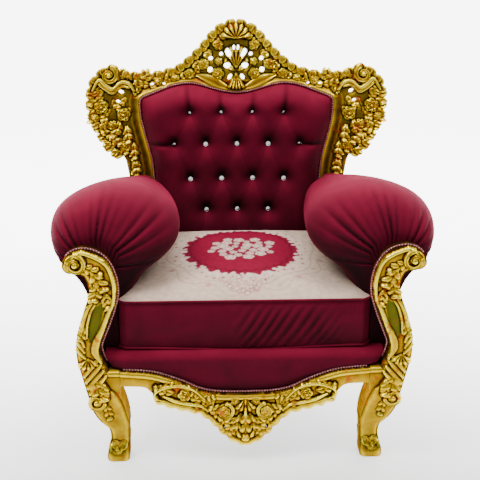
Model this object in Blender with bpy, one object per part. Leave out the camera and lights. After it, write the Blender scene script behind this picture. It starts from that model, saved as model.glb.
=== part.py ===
"""Throne armchair in the rococo revival manner: a carved and gilded beech frame, a pierced
back frame with wings, deep-buttoned velvet back, overstuffed arms and a loose seat cushion.
Metres, +Z up. The front faces -Y, and the origin is on the floor under the middle of the chair.
"""

import math

import bmesh
import bpy
import numpy as np

# Driving sizes of the whole chair
HALF_DEPTH = 0.45
JOINT_GAP = 0.0003
CLOTH_CLEARANCE = 0.003

# Seat and arms
SEAT_HALF_FRONT = 0.361
SEAT_HALF_BACK = 0.275
ARM_PANEL = 0.066
RAIL_TOP = 0.295
RAIL_HEIGHT = 0.055
DECK_THICKNESS = 0.05
BORDER_REACH = 0.018
BORDER_LEAN = 0.020
SEAT_FRONT = -0.402
CUSHION_EDGE = 0.150
CUSHION_CROWN = 0.036
CUSHION_CORNER = 0.022
CUSHION_TO_BACK = 0.045
ROLL_CENTRE = 0.370
ROLL_CENTRE_HEIGHT = 0.665
ROLL_HALF_WIDTH = 0.186
ROLL_HALF_HEIGHT = 0.130
ROLL_CENTRE_BACK = 0.318
ROLL_CENTRE_HEIGHT_BACK = 0.598
ROLL_HALF_WIDTH_BACK = 0.105
ROLL_HALF_HEIGHT_BACK = 0.094

# Front posts and rails
POST_TOP = 0.657
POST_FRONT = -0.43
POST_THICKNESS = 0.05
BLOCK_WIDTH = 0.073
BLOCK_BACK = -0.345
RAIL_FRONT = -0.436
RAIL_THICKNESS = 0.05
RAIL_DIP = 0.078
APRON_DROP = 0.184
SIDE_RAIL_THICKNESS = 0.034
REAR_LEG_FRONT = 0.25
REAR_LEG_DEPTH = 0.075
REAR_LEG_WIDTH = 0.062

# Back frame, pad and outside back
CREST_TOP = 1.166
PAD_TOP = 0.966
WING_HALF = 0.487
BACK_PLANE = 0.300
BACK_RAKE = 0.115
WING_SWEEP = 0.075
FRAME_HALF_THICKNESS = 0.018
PAD_SWELL = 0.072
COVER_THICKNESS = 0.006
BUTTON_SPACING = 0.053
BUTTON_RADIUS = 0.0085
BUTTON_ROWS = (
    (0.874, (-3, -1, 1, 3)),
    (0.772, (-4, -2, 0, 2, 4)),
    (0.655, (-3, -1, 1, 3)),
    (0.548, (-2, 0, 2)),
)
TRIM_WIDTH = 0.0055
TRIM_THICKNESS = 0.003

# Heights and places that follow from the sizes above
DECK_TOP = RAIL_TOP + DECK_THICKNESS
BLOCK_INNER = SEAT_HALF_FRONT - 0.002
BLOCK_OUTER = BLOCK_INNER + BLOCK_WIDTH
BORDER_HALF = SEAT_HALF_FRONT + BORDER_REACH
CUSHION_DEPTH = BACK_PLANE - PAD_SWELL - CUSHION_TO_BACK - SEAT_FRONT
ARM_FRONT = POST_FRONT + POST_THICKNESS + JOINT_GAP
ARM_BACK = REAR_LEG_FRONT
SIDES = (-1, 1)
FLAT = math.radians(0.3)
WELD = 0.00002


def smooth_path(points, count, measured=(0, 1)):
    """Catmull-Rom curve through the points, at even steps of its length in the measured columns."""
    p = np.array(points, float)
    padded = np.vstack([2 * p[0] - p[1], p, 2 * p[-1] - p[-2]])
    fine = []
    for i in range(len(p) - 1):
        a, b, c, d = padded[i : i + 4]
        for t in np.linspace(0, 1, 16, endpoint=False):
            square = (2 * a - 5 * b + 4 * c - d) * t * t
            cube = (3 * b - a - 3 * c + d) * t**3
            fine.append(0.5 * (2 * b + (c - a) * t + square + cube))
    fine = np.array([*fine, p[-1]])
    steps = np.linalg.norm(np.diff(fine[:, list(measured)], axis=0), axis=1)
    length = np.concatenate([[0], np.cumsum(steps)])
    even = np.linspace(0, length[-1], count)
    return np.column_stack([np.interp(even, length, column) for column in fine.T])


def loft(rings):
    """Closed skin over rings that have the same number of points, with a face on each end."""
    n = len(rings[0])
    points = [tuple(map(float, point)) for ring in rings for point in ring]
    faces = []
    for i in range(len(rings) - 1):
        for j in range(n):
            k = (j + 1) % n
            faces.append((i * n + j, i * n + k, (i + 1) * n + k, (i + 1) * n + j))
    faces.append(tuple(reversed(range(n))))
    faces.append(tuple(range((len(rings) - 1) * n, len(rings) * n)))
    return points, faces


def solid(name, shape, material, smooth=True):
    """A mesh object from points and faces, with its faces turned outwards."""
    mesh = bpy.data.meshes.new(name)
    mesh.from_pydata(shape[0], [], shape[1])
    work = bmesh.new()
    work.from_mesh(mesh)
    bmesh.ops.recalc_face_normals(work, faces=work.faces)
    work.to_mesh(mesh)
    work.free()
    mesh.materials.append(material)
    thing = bpy.data.objects.new(name, mesh)
    bpy.context.scene.collection.objects.link(thing)
    if smooth:
        mesh.shade_smooth()
        mesh.set_sharp_from_angle(angle=math.radians(35))
    return thing


def joined(shapes):
    """Several point and face lists as one."""
    points, faces = [], []
    for shape_points, shape_faces in shapes:
        start = len(points)
        points += shape_points
        faces += [tuple(start + i for i in face) for face in shape_faces]
    return points, faces


def moved(shape, place):
    """The shape with each point put through place(point)."""
    return [tuple(place(point)) for point in shape[0]], shape[1]


def mirrored(shape):
    return moved(shape, lambda p: (-p[0], p[1], p[2]))


def baked(thing):
    """The object's mesh with its modifiers applied."""
    graph = bpy.context.evaluated_depsgraph_get()
    mesh = bpy.data.meshes.new_from_object(thing.evaluated_get(graph))
    thing.modifiers.clear()
    thing.data = mesh


def largest_shell(work):
    """Fills pockets that the carving closes off, and drops crumbs: only the outer skin stays."""
    left, shells = set(work.faces), []
    while left:
        shell, edge = set(), [left.pop()]
        while edge:
            face = edge.pop()
            shell.add(face)
            near = {other for side in face.edges for other in side.link_faces} & left
            left -= near
            edge += near
        shells.append(shell)
    shells.sort(key=lambda shell: sum(face.calc_area() for face in shell))
    crumbs = [face for shell in shells[:-1] for face in shell]
    bmesh.ops.delete(work, geom=crumbs, context="FACES")


def triangulated(thing, flat=0.0):
    """Welds the object's slivers, merges faces in one plane and cuts them into triangles."""
    work = bmesh.new()
    work.from_mesh(thing.data)
    bmesh.ops.remove_doubles(work, verts=work.verts, dist=WELD)
    if flat:
        largest_shell(work)
        bmesh.ops.dissolve_limit(work, angle_limit=flat, verts=work.verts, edges=work.edges)
    bmesh.ops.triangulate(work, faces=work.faces)
    work.to_mesh(thing.data)
    work.free()
    return thing


def combine(thing, shapes, operation):
    """Adds the shapes to the object, or cuts them away."""
    tool = solid("tool", joined(shapes), thing.data.materials[0], smooth=False)
    step = triangulated(thing).modifiers.new(operation, "BOOLEAN")
    step.operation = operation
    step.solver = "EXACT"
    step.use_self = operation == "UNION"
    step.object = triangulated(tool)
    baked(thing)
    bpy.data.objects.remove(tool)


def bent(thing, place):
    """Puts each point of the object's mesh through place(point)."""
    for point in thing.data.vertices:
        point.co = place(point.co)


# Carved shapes, each in its own plan: X along it, Y across it, Z out of the wood
def leaf(length, width, rise, sink=0.010, rings=4):
    """Acanthus leaf with a raised midrib and notched edges, its tip turning over."""
    out = []
    for i in range(rings):
        t = i / (rings - 1)
        notch = 1.0 if i % 2 == 1 else 0.82
        half = width / 2 * notch * (0.12 + math.sin(math.pi * (0.16 + 0.78 * t) ** 0.9))
        height = rise * (0.55 + 0.45 * math.sin(math.pi * t * 0.9))
        x = length * (t - 0.1)
        out.append(((x, -half, 0.3 * height), (x, 0, height), (x, half, 0.3 * height), (x, 0, -sink)))
    return loft(out)


def rose(radius, rise, sink=0.010, petals=5):
    """Open rose: an outer round of petals, an inner round and a bud."""
    out = []
    for share, height in ((0.78, None), (1.0, 0.45), (0.34, 1.0)):
        ring = []
        for j in range(petals * 2):
            angle = math.pi * j / petals
            valley = 0.80 if j % 2 and share > 0.5 else 1.0
            level = -sink if height is None else rise * height * (0.5 + 0.5 * valley)
            r = radius * share * valley
            ring.append((r * math.cos(angle), r * math.sin(angle), level))
        out.append(ring)
    return loft(out)


def strip(path, widths, rise, sink=0.010):
    """Rounded carved ribbon along a path in plan."""
    path = np.array(path, float)
    out = []
    for i, (x, y) in enumerate(path):
        before, after = path[max(i - 1, 0)], path[min(i + 1, len(path) - 1)]
        along = (after - before) / np.linalg.norm(after - before)
        half = widths[i] / 2
        ring = []
        for across, height in ((-1, 0.35), (0, 1.0), (1, 0.35), (0, None)):
            level = -sink if height is None else rise * height
            ring.append((x - along[1] * half * across, y + along[0] * half * across, level))
        out.append(ring)
    return loft(out)


def volute(radius, turns, width, rise, lead=0.0, steps=8, sink=0.010):
    """Scroll that winds in to its eye, with a straight lead before it."""
    path, widths = [], []
    for i in range(steps):
        t = i / (steps - 1)
        angle = 2 * math.pi * turns * t
        r = radius * (1 - 0.70 * t)
        path.append((r * math.sin(angle), -r * math.cos(angle)))
        widths.append(width * (1 - 0.45 * t))
    if lead:
        path.insert(0, (-lead, -radius * 1.02))
        widths.insert(0, width * 0.5)
    return strip(path, widths, rise, sink)


def fan(radius, spread, ribs, rise, root=0.25, sink=0.010):
    """Shell or palmette: ribs that spread from a root, scalloped at their ends."""
    columns = 2 * ribs + 1
    rows = ((root, 0.55), (0.62, 0.95), (1.0, 0.62))
    points = []
    for share, height in rows:
        for j in range(columns):
            angle = math.radians(spread) * (j / (columns - 1) - 0.5)
            valley = 1.0 if j % 2 else 0.80
            scallop = valley if share == 1.0 else 1.0
            r = radius * share * scallop
            level = rise * height * (1.0 if j % 2 else 0.55)
            points.append((r * math.cos(angle), r * math.sin(angle), level))
    rim = list(range(columns))
    rim += [r * columns + columns - 1 for r in range(1, len(rows))]
    rim += [(len(rows) - 1) * columns + j for j in range(columns - 2, -1, -1)]
    rim += [r * columns for r in range(len(rows) - 2, 0, -1)]
    under = {}
    for index in rim:
        under[index] = len(points)
        points.append((points[index][0], points[index][1], -sink))
    faces = []
    for r in range(len(rows) - 1):
        for j in range(columns - 1):
            a = r * columns + j
            faces.append((a, a + 1, a + columns + 1, a + columns))
    for i, index in enumerate(rim):
        after = rim[(i + 1) % len(rim)]
        faces.append((index, under[index], under[after], after))
    faces.append(tuple(under[index] for index in rim))
    return points, faces


def laid(shape, x, z, turn, ground=0.0, flip=False):
    """A carved shape stood up on an upright face: turned in the face, at (x, z), facing -Y."""
    c, s = math.cos(math.radians(turn)), math.sin(math.radians(turn))

    def place(point):
        along, across, out = point
        across = -across if flip else across
        return x + along * c - across * s, ground - out, z + along * s + across * c

    return moved(shape, place)


def both_sides(shapes):
    """The shapes and their mirror images."""
    return [*shapes, *(mirrored(shape) for shape in shapes)]


# The curved sheet that the back frame, the pad and the outside back follow
def back_sheet(x, z):
    """Depth of the middle of the back: it leans back, and its wings come forward."""
    sweep = WING_SWEEP * (x / WING_HALF) ** 2
    return BACK_PLANE + BACK_RAKE * (z - RAIL_TOP) - sweep


def on_back_sheet(point):
    return point[0], point[1] + back_sheet(point[0], point[2]), point[2]


def back_height(share):
    """Height at a share of the way from the rails to the top of the pad."""
    return RAIL_TOP + share * (PAD_TOP - RAIL_TOP)


def crest_height(share):
    """Height at a share of the way from the top of the pad to the top of the crest."""
    return PAD_TOP + share * (CREST_TOP - PAD_TOP)


# Rungs across the back frame on one side, from its foot to the middle of the crest:
# inner x as a share of the wing's half width, inner height, outer x, outer height
BACK_RUNGS = (
    (0.527, back_height(0.000), 0.690, back_height(0.000)),
    (0.543, back_height(0.230), 0.705, back_height(0.230)),
    (0.565, back_height(0.455), 0.740, back_height(0.455)),
    (0.575, back_height(0.555), 0.755, back_height(0.550)),
    (0.583, back_height(0.622), 0.785, back_height(0.633)),
    (0.603, back_height(0.690), 0.872, back_height(0.690)),
    (0.628, back_height(0.760), 0.938, back_height(0.772)),
    (0.650, back_height(0.832), 0.985, back_height(0.855)),
    (0.660, back_height(0.886), 1.000, back_height(0.940)),
    (0.661, back_height(0.918), 0.978, crest_height(0.070)),
    (0.648, back_height(0.937), 0.910, crest_height(0.240)),
    (0.605, back_height(0.949), 0.840, crest_height(0.275)),
    (0.542, back_height(0.966), 0.750, crest_height(0.180)),
    (0.467, back_height(0.985), 0.630, crest_height(0.130)),
    (0.393, back_height(0.997), 0.510, crest_height(0.170)),
    (0.318, back_height(1.000), 0.402, crest_height(0.245)),
    (0.244, back_height(0.990), 0.320, crest_height(0.385)),
    (0.170, back_height(0.973), 0.235, crest_height(0.585)),
    (0.085, back_height(0.956), 0.124, crest_height(0.880)),
    (0.000, back_height(0.949), 0.000, crest_height(1.000)),
)
RUNGS_A_SIDE = 21


def back_rungs(count):
    """Rungs across the back frame, evenly spaced along its outer edge, as (inner, outer) points."""
    rungs = [(a * WING_HALF, b, c * WING_HALF, d) for a, b, c, d in BACK_RUNGS]
    half = smooth_path(rungs, count, measured=(2, 3))
    mirror = half[-2::-1] * (-1, 1, -1, 1)
    return np.vstack([half, mirror])


INNER_EDGE = back_rungs(RUNGS_A_SIDE)[:RUNGS_A_SIDE, :2]


def pad_half_width(z):
    """Half width of the opening in the back frame at a height below its top corner."""
    side = INNER_EDGE[: int(np.argmax(INNER_EDGE[:, 0])) + 1]
    return float(np.interp(z, side[:, 1], side[:, 0]))


def pad_top_height(x):
    """Height of the top of the opening in the back frame at a distance from the middle."""
    top = INNER_EDGE[int(np.argmax(INNER_EDGE[:, 0])) :][::-1]
    return float(np.interp(abs(x), top[:, 0], top[:, 1]))


def back_frame(gilt):
    """Crest, wings and stiles, carved as one pierced frame round the back pad."""
    rim, cove = 0.010, 0.030
    deep = FRAME_HALF_THICKNESS
    rings = []
    for xi, zi, xo, zo in back_rungs(RUNGS_A_SIDE):
        reach = math.hypot(xo - xi, zo - zi)
        bead = min(rim / reach, 0.12)
        hollow = min((rim + cove * 0.5) / reach, 0.32)
        edge = min((rim + cove) / reach, 0.55)
        profile = (
            (0, deep * 0.8),
            (bead, deep * 1.25),
            (hollow, deep * 0.35),
            (edge, deep),
            (1, deep * 0.7),
            (1, -deep),
            (0, -deep),
        )
        rings.append([(xi + u * (xo - xi), -h, zi + u * (zo - zi)) for u, h in profile])
    frame = solid("back_frame", loft(rings), gilt)
    w, face = WING_HALF, -deep

    def put(shape, x, z, turn, flip=False):
        return laid(shape, x * w, z, turn, face, flip)

    side = [
        put(leaf(0.075, 0.050, 0.016), 0.285, crest_height(0.33), 128),
        put(leaf(0.070, 0.050, 0.016), 0.205, crest_height(0.53), 125),
        put(rose(0.024, 0.020), 0.185, crest_height(0.50), 20),
        put(rose(0.022, 0.020), 0.112, crest_height(0.17), 50),
        put(leaf(0.080, 0.036, 0.015), 0.360, crest_height(0.15), 170),
        put(leaf(0.072, 0.034, 0.015), 0.430, crest_height(0.10), -8),
        put(rose(0.017, 0.019), 0.405, crest_height(0.115), 0),
        put(volute(0.030, 1.1, 0.018, 0.020), 0.845, crest_height(0.115), 200),
        put(volute(0.021, 0.9, 0.015, 0.017), 0.925, back_height(0.985), 160),
        put(volute(0.034, 0.8, 0.018, 0.016, lead=0.055), 0.760, back_height(0.935), 165, True),
        put(rose(0.026, 0.021), 0.905, back_height(0.885), 10),
        put(rose(0.023, 0.019), 0.790, back_height(0.825), 40),
        put(leaf(0.070, 0.046, 0.016), 0.905, back_height(0.850), -75),
        put(leaf(0.074, 0.046, 0.016), 0.880, back_height(0.780), -115),
        put(leaf(0.070, 0.042, 0.016), 0.790, back_height(0.735), -125),
        put(leaf(0.080, 0.036, 0.014), 0.712, back_height(0.790), -108),
        put(leaf(0.075, 0.036, 0.014), 0.680, back_height(0.650), -95),
    ]
    middle = [
        laid(fan(0.074, 190, 5, 0.022), 0, crest_height(0.52), 90, face),
        laid(fan(0.085, 62, 3, 0.018, root=0.2), 0, crest_height(0.12), 90, face),
        laid(fan(0.040, 120, 3, 0.020, root=0.3), 0, crest_height(0.135), -90, face),
    ]
    combine(frame, [*both_sides(side), *middle], "UNION")
    combine(frame, both_sides(piercings()), "DIFFERENCE")
    bent(triangulated(frame, 3 * FLAT), on_back_sheet)
    frame.data.shade_smooth()
    frame.data.set_sharp_from_angle(angle=math.radians(35))
    return frame


def piercings():
    """Cutters for the openings of one half of the crest and of one wing."""
    places = (
        (0.052, crest_height(0.50), 0.010, 0.018, 20),
        (0.056, crest_height(0.27), 0.013, 0.013, 45),
        (0.168, crest_height(0.385), 0.009, 0.011, 40),
        (0.180, crest_height(0.205), 0.009, 0.012, 20),
        (0.045, crest_height(0.075), 0.008, 0.013, 30),
        (0.790, back_height(0.960), 0.014, 0.008, 20),
        (0.860, back_height(0.930), 0.011, 0.009, 0),
    )
    cuts = []
    for x, z, half_wide, half_tall, turn in places:
        ring = []
        for j in range(6):
            angle = 2 * math.pi * j / 6
            ring.append((half_wide * math.cos(angle), half_tall * math.sin(angle)))
        cut = loft([[(a, b, out) for a, b in ring] for out in (-0.06, 0.06)])
        cuts.append(laid(cut, x * WING_HALF, z, turn))
    return cuts


# Spine of the right front post from its scroll to its foot, drawn at this post height: x outwards
# from the seat's side and height, width across the spine, and the front and back of the wood
DRAWN_POST_TOP = 0.657
POST_SPINE = (
    (0.122, 0.612, 0.046, 0.000, 0.000),
    (0.104, 0.622, 0.066, 0.000, 0.000),
    (0.080, 0.620, 0.076, 0.000, 0.000),
    (0.056, 0.606, 0.078, 0.000, 0.000),
    (0.040, 0.572, 0.078, 0.000, 0.000),
    (0.036, 0.532, 0.077, 0.000, 0.000),
    (0.044, 0.496, 0.076, 0.000, 0.000),
    (0.060, 0.450, 0.076, 0.002, 0.000),
    (0.075, 0.408, 0.073, 0.004, 0.000),
    (0.084, 0.370, 0.068, 0.006, 0.000),
    (0.081, 0.332, 0.072, 0.008, 0.000),
    (0.072, 0.302, 0.077, 0.010, 0.000),
    (0.060, 0.258, 0.080, 0.012, 0.028),
    (0.049, 0.220, 0.084, 0.014, 0.034),
    (0.036, 0.180, 0.090, 0.014, 0.030),
    (0.020, 0.140, 0.078, 0.008, 0.018),
    (0.008, 0.108, 0.062, -0.004, 0.010),
    (0.005, 0.070, 0.056, -0.006, 0.004),
    (0.009, 0.034, 0.060, 0.004, 0.000),
    (0.012, 0.014, 0.066, 0.012, 0.002),
    (0.012, 0.000, 0.060, 0.010, 0.002),
)


def post_spine(count):
    """The post's spine in metres, raised or lowered to the post's height."""
    rows = [
        (SEAT_HALF_FRONT + x, z * POST_TOP / DRAWN_POST_TOP, width, front, back)
        for x, z, width, front, back in POST_SPINE
    ]
    return smooth_path(rows, count)


def front_post(side, gilt):
    """Arm scroll, S-shaped arm post and cabriole leg, carved from one length of beech."""
    spine = post_spine(24)
    rings = []
    for i, (x, z, width, front, back) in enumerate(spine):
        before, after = spine[max(i - 1, 0), :2], spine[min(i + 1, len(spine) - 1), :2]
        along = (after - before) / np.linalg.norm(after - before)
        if i == len(spine) - 1:
            along = np.array((0.0, -1.0))
        near = POST_FRONT - front
        far = POST_FRONT + POST_THICKNESS
        chamfer = 0.012
        ring = []
        for across, y in (
            (-1, None),
            (-1, near + chamfer),
            (-0.6, near),
            (0.6, near),
            (1, near + chamfer),
            (1, None),
        ):
            point_x = x - along[1] * across * width / 2
            point_z = z + along[0] * across * width / 2
            if y is None:
                y = far + min(back, max(RAIL_TOP - 0.03 - point_z, 0))
            ring.append((point_x, y, point_z))
        rings.append(ring)
    block_bottom = RAIL_TOP - RAIL_HEIGHT - 0.02
    block = loft(
        [
            [
                (x, y, z)
                for x, y in (
                    (BLOCK_INNER, POST_FRONT + 0.004),
                    (BLOCK_OUTER, POST_FRONT + 0.004),
                    (BLOCK_OUTER, BLOCK_BACK),
                    (BLOCK_INNER, BLOCK_BACK),
                )
            ]
            for z in (block_bottom, RAIL_TOP)
        ]
    )
    seat, face = SEAT_HALF_FRONT, POST_FRONT + 0.004

    def put(shape, x, z, turn, flip=False, out=0.0):
        return laid(shape, seat + x, z * POST_TOP / DRAWN_POST_TOP, turn, face - out, flip)

    carving = [
        put(volute(0.030, 1.2, 0.016, 0.016), 0.108, 0.618, 210),
        put(leaf(0.078, 0.044, 0.016), 0.078, 0.622, 214),
        put(leaf(0.070, 0.050, 0.014), 0.044, 0.560, 262),
        put(leaf(0.070, 0.034, 0.012), 0.072, 0.455, 120, out=0.002),
        put(rose(0.020, 0.015), 0.094, 0.368, 20, out=0.004),
        put(leaf(0.072, 0.048, 0.014), 0.088, 0.345, 248, out=0.006),
        put(leaf(0.078, 0.054, 0.014), 0.062, 0.270, 258, out=0.010),
        put(volute(0.022, 1.0, 0.015, 0.014), 0.048, 0.172, 200, out=0.010),
        put(leaf(0.060, 0.044, 0.012), 0.014, 0.112, 262, out=-0.004),
        put(rose(0.020, 0.012), 0.012, 0.030, 50, out=0.004),
    ]
    shapes = [loft(rings), block, *carving]
    if side < 0:
        shapes = [mirrored(shape) for shape in shapes]
    post = solid(f"front_post_{side_name(side)}", shapes[0], gilt)
    combine(post, shapes[1:], "UNION")
    floor_cut = box((-1, 1), (-1, 1), (-0.1, 0))
    combine(post, [floor_cut], "DIFFERENCE")
    return triangulated(post, 3 * FLAT)


def side_name(side):
    """Names sides as they are seen from the front of the chair."""
    return "left" if side < 0 else "right"


def box(xs, ys, zs):
    """Upright block between two x, two y and two z values."""
    plan = ((xs[0], ys[0]), (xs[1], ys[0]), (xs[1], ys[1]), (xs[0], ys[1]))
    return loft([[(x, y, z) for x, y in plan] for z in zs])


# Front rail: half of its top and bottom lines, from the middle to the post, as shares
RAIL_TOP_LINE = ((0, 1.0), (0.20, 0.98), (0.36, 0.83), (0.52, 0.47), (0.74, 0.12), (1, 0))
RAIL_BOTTOM_LINE = (
    (0, 1.0),
    (0.06, 0.965),
    (0.14, 0.82),
    (0.23, 0.62),
    (0.34, 0.46),
    (0.44, 0.40),
    (0.60, 0.32),
    (0.71, 0.24),
    (0.77, 0.08),
    (0.83, 0.01),
    (1, 0),
)


def line_value(line, share):
    curve = smooth_path(line, 60)
    return float(np.interp(abs(share), curve[:, 0], curve[:, 1]))


RAIL_STATIONS = np.linspace(0, BLOCK_INNER - JOINT_GAP, 13)
RAIL_TOPS = [RAIL_TOP - RAIL_DIP * line_value(RAIL_TOP_LINE, x / BLOCK_INNER) for x in RAIL_STATIONS]


def rail_top_height(x):
    """Top of the front rail, where the seat's cloth ends: it dips in the middle."""
    return float(np.interp(abs(x), RAIL_STATIONS, RAIL_TOPS))


def rail_bottom_height(x):
    """Bottom of the front rail: scalloped, with a drop in the middle."""
    top = RAIL_TOP - RAIL_HEIGHT
    return top - APRON_DROP * line_value(RAIL_BOTTOM_LINE, x / BLOCK_INNER)


def front_rail(gilt):
    """Serpentine show rail between the posts, with a carved shell on its drop."""
    half = RAIL_STATIONS[-1]
    rings = []
    for x in [*(-RAIL_STATIONS[:0:-1]), *RAIL_STATIONS]:
        top, bottom = rail_top_height(x), rail_bottom_height(x)
        bulge = 0.006 * math.cos(math.pi * x / (2 * half))
        near, far = RAIL_FRONT - bulge, RAIL_FRONT + RAIL_THICKNESS
        lip = 0.010
        rings.append(
            [
                (x, far, top),
                (x, near + 0.010, top),
                (x, near, top - lip),
                (x, near + 0.005, top - 2 * lip),
                (x, near - 0.001, bottom + lip),
                (x, near + 0.010, bottom),
                (x, far, bottom),
            ]
        )
    rail = solid("front_rail", loft(rings), gilt)
    face, drop = RAIL_FRONT - 0.001, RAIL_TOP - RAIL_HEIGHT

    def put(shape, x, down, turn, flip=False):
        return laid(shape, x * BLOCK_INNER, drop - down * APRON_DROP, turn, face, flip)

    side = [
        put(rose(0.026, 0.013), 0.165, 0.40, 15),
        put(volute(0.024, 0.9, 0.015, 0.013, lead=0.04), 0.300, 0.29, 190),
        put(leaf(0.075, 0.034, 0.013), 0.230, 0.56, 128),
        put(leaf(0.085, 0.034, 0.013), 0.400, 0.24, 10, False),
        put(rose(0.019, 0.013), 0.560, 0.10, 0),
        put(leaf(0.080, 0.032, 0.012), 0.560, 0.22, 18),
    ]
    middle = [
        laid(fan(0.070, 150, 4, 0.013, root=0.3), 0, drop - 0.20 * APRON_DROP, -90, face),
        laid(leaf(0.085, 0.040, 0.013), 0, drop - 0.50 * APRON_DROP, -90, face),
    ]
    combine(rail, [*both_sides(side), *middle], "UNION")
    return triangulated(rail, FLAT)


def side_line(y, front, back):
    """A half width that runs straight from its value at the arm's front to that at its back."""
    share = (y - ARM_FRONT) / (ARM_BACK - ARM_FRONT)
    return front + share * (back - front)


def arm_inner(y):
    return side_line(y, SEAT_HALF_FRONT, SEAT_HALF_BACK)


def side_rail(side, gilt):
    """Gilded rail under the arm, from the front post to the rear leg."""
    start, end = BLOCK_BACK + JOINT_GAP, REAR_LEG_FRONT - JOINT_GAP
    rings = []
    for share in np.linspace(0, 1, 6):
        y = start + share * (end - start)
        inner = arm_inner(y) + 0.5 * ARM_PANEL - 0.5 * SIDE_RAIL_THICKNESS
        outer = inner + SIDE_RAIL_THICKNESS
        bottom = RAIL_TOP - RAIL_HEIGHT - 0.018 * math.sin(math.pi * share) ** 2
        rings.append(
            [
                (inner, y, RAIL_TOP),
                (inner, y, bottom),
                (outer - 0.006, y, bottom),
                (outer + 0.004, y, bottom + 0.010),
                (outer, y, bottom + 0.024),
                (outer + 0.004, y, RAIL_TOP - 0.008),
                (outer - 0.002, y, RAIL_TOP),
            ]
        )
    shape = loft(rings)
    name = f"side_rail_{side_name(side)}"
    return solid(name, mirrored(shape) if side < 0 else shape, gilt)


def rear_leg(side, gilt):
    """Plain sabre leg that carries the back frame, raked out to the back."""
    middle = (BACK_RUNGS[0][0] + BACK_RUNGS[0][2]) / 2 * WING_HALF
    rows = (
        (RAIL_TOP, 1.00, 0.00),
        (RAIL_TOP - RAIL_HEIGHT - 0.01, 1.00, 0.00),
        (0.17, 0.80, 0.20),
        (0.09, 0.68, 0.58),
        (0.03, 0.66, 0.92),
        (0.00, 0.70, 1.00),
    )
    rings = []
    for z, size, rake in rows:
        half = REAR_LEG_WIDTH / 2 * size
        depth = REAR_LEG_DEPTH * size
        start = REAR_LEG_FRONT + rake * (HALF_DEPTH - REAR_LEG_FRONT - REAR_LEG_DEPTH * 0.70)
        corner = 0.008
        rings.append(
            [
                (middle - half, start + corner, z),
                (middle - half + corner, start, z),
                (middle + half - corner, start, z),
                (middle + half, start + corner, z),
                (middle + half, start + depth, z),
                (middle - half, start + depth, z),
            ]
        )
    shape = loft(rings)
    name = f"rear_leg_{side_name(side)}"
    return solid(name, mirrored(shape) if side < 0 else shape, gilt)


def back_rail(gilt):
    """Rail between the rear legs, under the back."""
    middle = (BACK_RUNGS[0][0] + BACK_RUNGS[0][2]) / 2 * WING_HALF
    half = middle - REAR_LEG_WIDTH / 2 - JOINT_GAP
    near = REAR_LEG_FRONT + 0.02
    bottom = RAIL_TOP - RAIL_HEIGHT
    return solid("back_rail", box((-half, half), (near, near + 0.03), (bottom, RAIL_TOP)), gilt)


# Upholstery
def seat_deck(velvet):
    """Sprung and upholstered deck, whose front border comes down to the show rail."""
    inner_front = arm_inner(ARM_FRONT) - CLOTH_CLEARANCE
    inner_back = arm_inner(ARM_BACK) - CLOTH_CLEARANCE
    near = RAIL_FRONT + 0.012
    hidden = RAIL_FRONT + RAIL_THICKNESS + 0.004
    under = RAIL_TOP + JOINT_GAP
    plan = [(x, 0, 0) for x in RAIL_STATIONS]
    plan += [(x, 0, 0) for x in (inner_back, inner_front, inner_front + 0.0005)]
    plan += [(BORDER_HALF - 0.014, 0.3, 0.6), (BORDER_HALF, 1, 1)]
    plan.sort()
    rings = []
    for x, ease, lean in [*((-x, e, n) for x, e, n in plan[:0:-1]), *plan]:
        reach = abs(x)
        if reach <= inner_back:
            far = ARM_BACK - JOINT_GAP
        elif reach <= inner_front:
            share = (inner_front - reach) / (inner_front - inner_back)
            far = ARM_FRONT + share * (ARM_BACK - ARM_FRONT) - JOINT_GAP
        else:
            far = ARM_FRONT - JOINT_GAP
        low = rail_top_height(min(reach, BLOCK_INNER)) + JOINT_GAP
        front = near + 0.014 * ease
        back_edge = max(far, near + 0.044)
        out = math.copysign(BORDER_LEAN * lean, x)
        rings.append(
            [
                (x, front + 0.002, low),
                (x + 0.4 * out, front - 0.004, (low + DECK_TOP) / 2),
                (x + out, front + 0.004, DECK_TOP - 0.010),
                (x + out, front + 0.018, DECK_TOP - 0.004 * ease),
                (x + out, back_edge, DECK_TOP - 0.004 * ease),
                (x, back_edge, under),
                (x, min(hidden, back_edge - 0.002), under),
                (x, min(hidden, back_edge - 0.002) - 0.004, low),
            ]
        )
    return triangulated(solid("seat_deck", loft(rings), velvet), FLAT)


def cushion_outline(y):
    """Half width of the loose cushion, clear of the arms, with rounded corners."""
    back = SEAT_FRONT + CUSHION_DEPTH
    corner = CUSHION_CORNER
    inset = 0.0
    for edge in (y - SEAT_FRONT, back - y):
        if edge < corner:
            inset = max(inset, corner - math.sqrt(max(corner**2 - (corner - edge) ** 2, 0)))
    return side_line(y, SEAT_HALF_FRONT, SEAT_HALF_BACK) - CLOTH_CLEARANCE - inset


def seat_cushion(velvet):
    """Loose boxed cushion: a crowned top panel, a flat border and a piped seam round each."""
    back = SEAT_FRONT + CUSHION_DEPTH
    low, high = DECK_TOP + JOINT_GAP, DECK_TOP + CUSHION_EDGE
    stations = [0.0, 0.015, *np.linspace(0.06, CUSHION_DEPTH - 0.06, 5)]
    stations += [CUSHION_DEPTH - 0.015, CUSHION_DEPTH]
    rings = []
    for along in stations:
        y = SEAT_FRONT + along
        half = cushion_outline(min(max(y, SEAT_FRONT + 0.002), back - 0.002))
        swell = math.sin(math.pi * min(max(along / CUSHION_DEPTH, 0), 1)) ** 0.6
        ring = []
        for across in np.linspace(-1, 1, 9):
            crown = CUSHION_CROWN * swell * (1 - abs(across) ** 2.4)
            ring.append((half * across, y, high + crown))
        ring.append((half + 0.001, y, (low + high) / 2))
        ring.append((half * 0.985, y, low))
        ring.append((-half * 0.985, y, low))
        ring.append((-half - 0.001, y, (low + high) / 2))
        rings.append(ring)
    return solid("seat_cushion", loft(rings), velvet)


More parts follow.
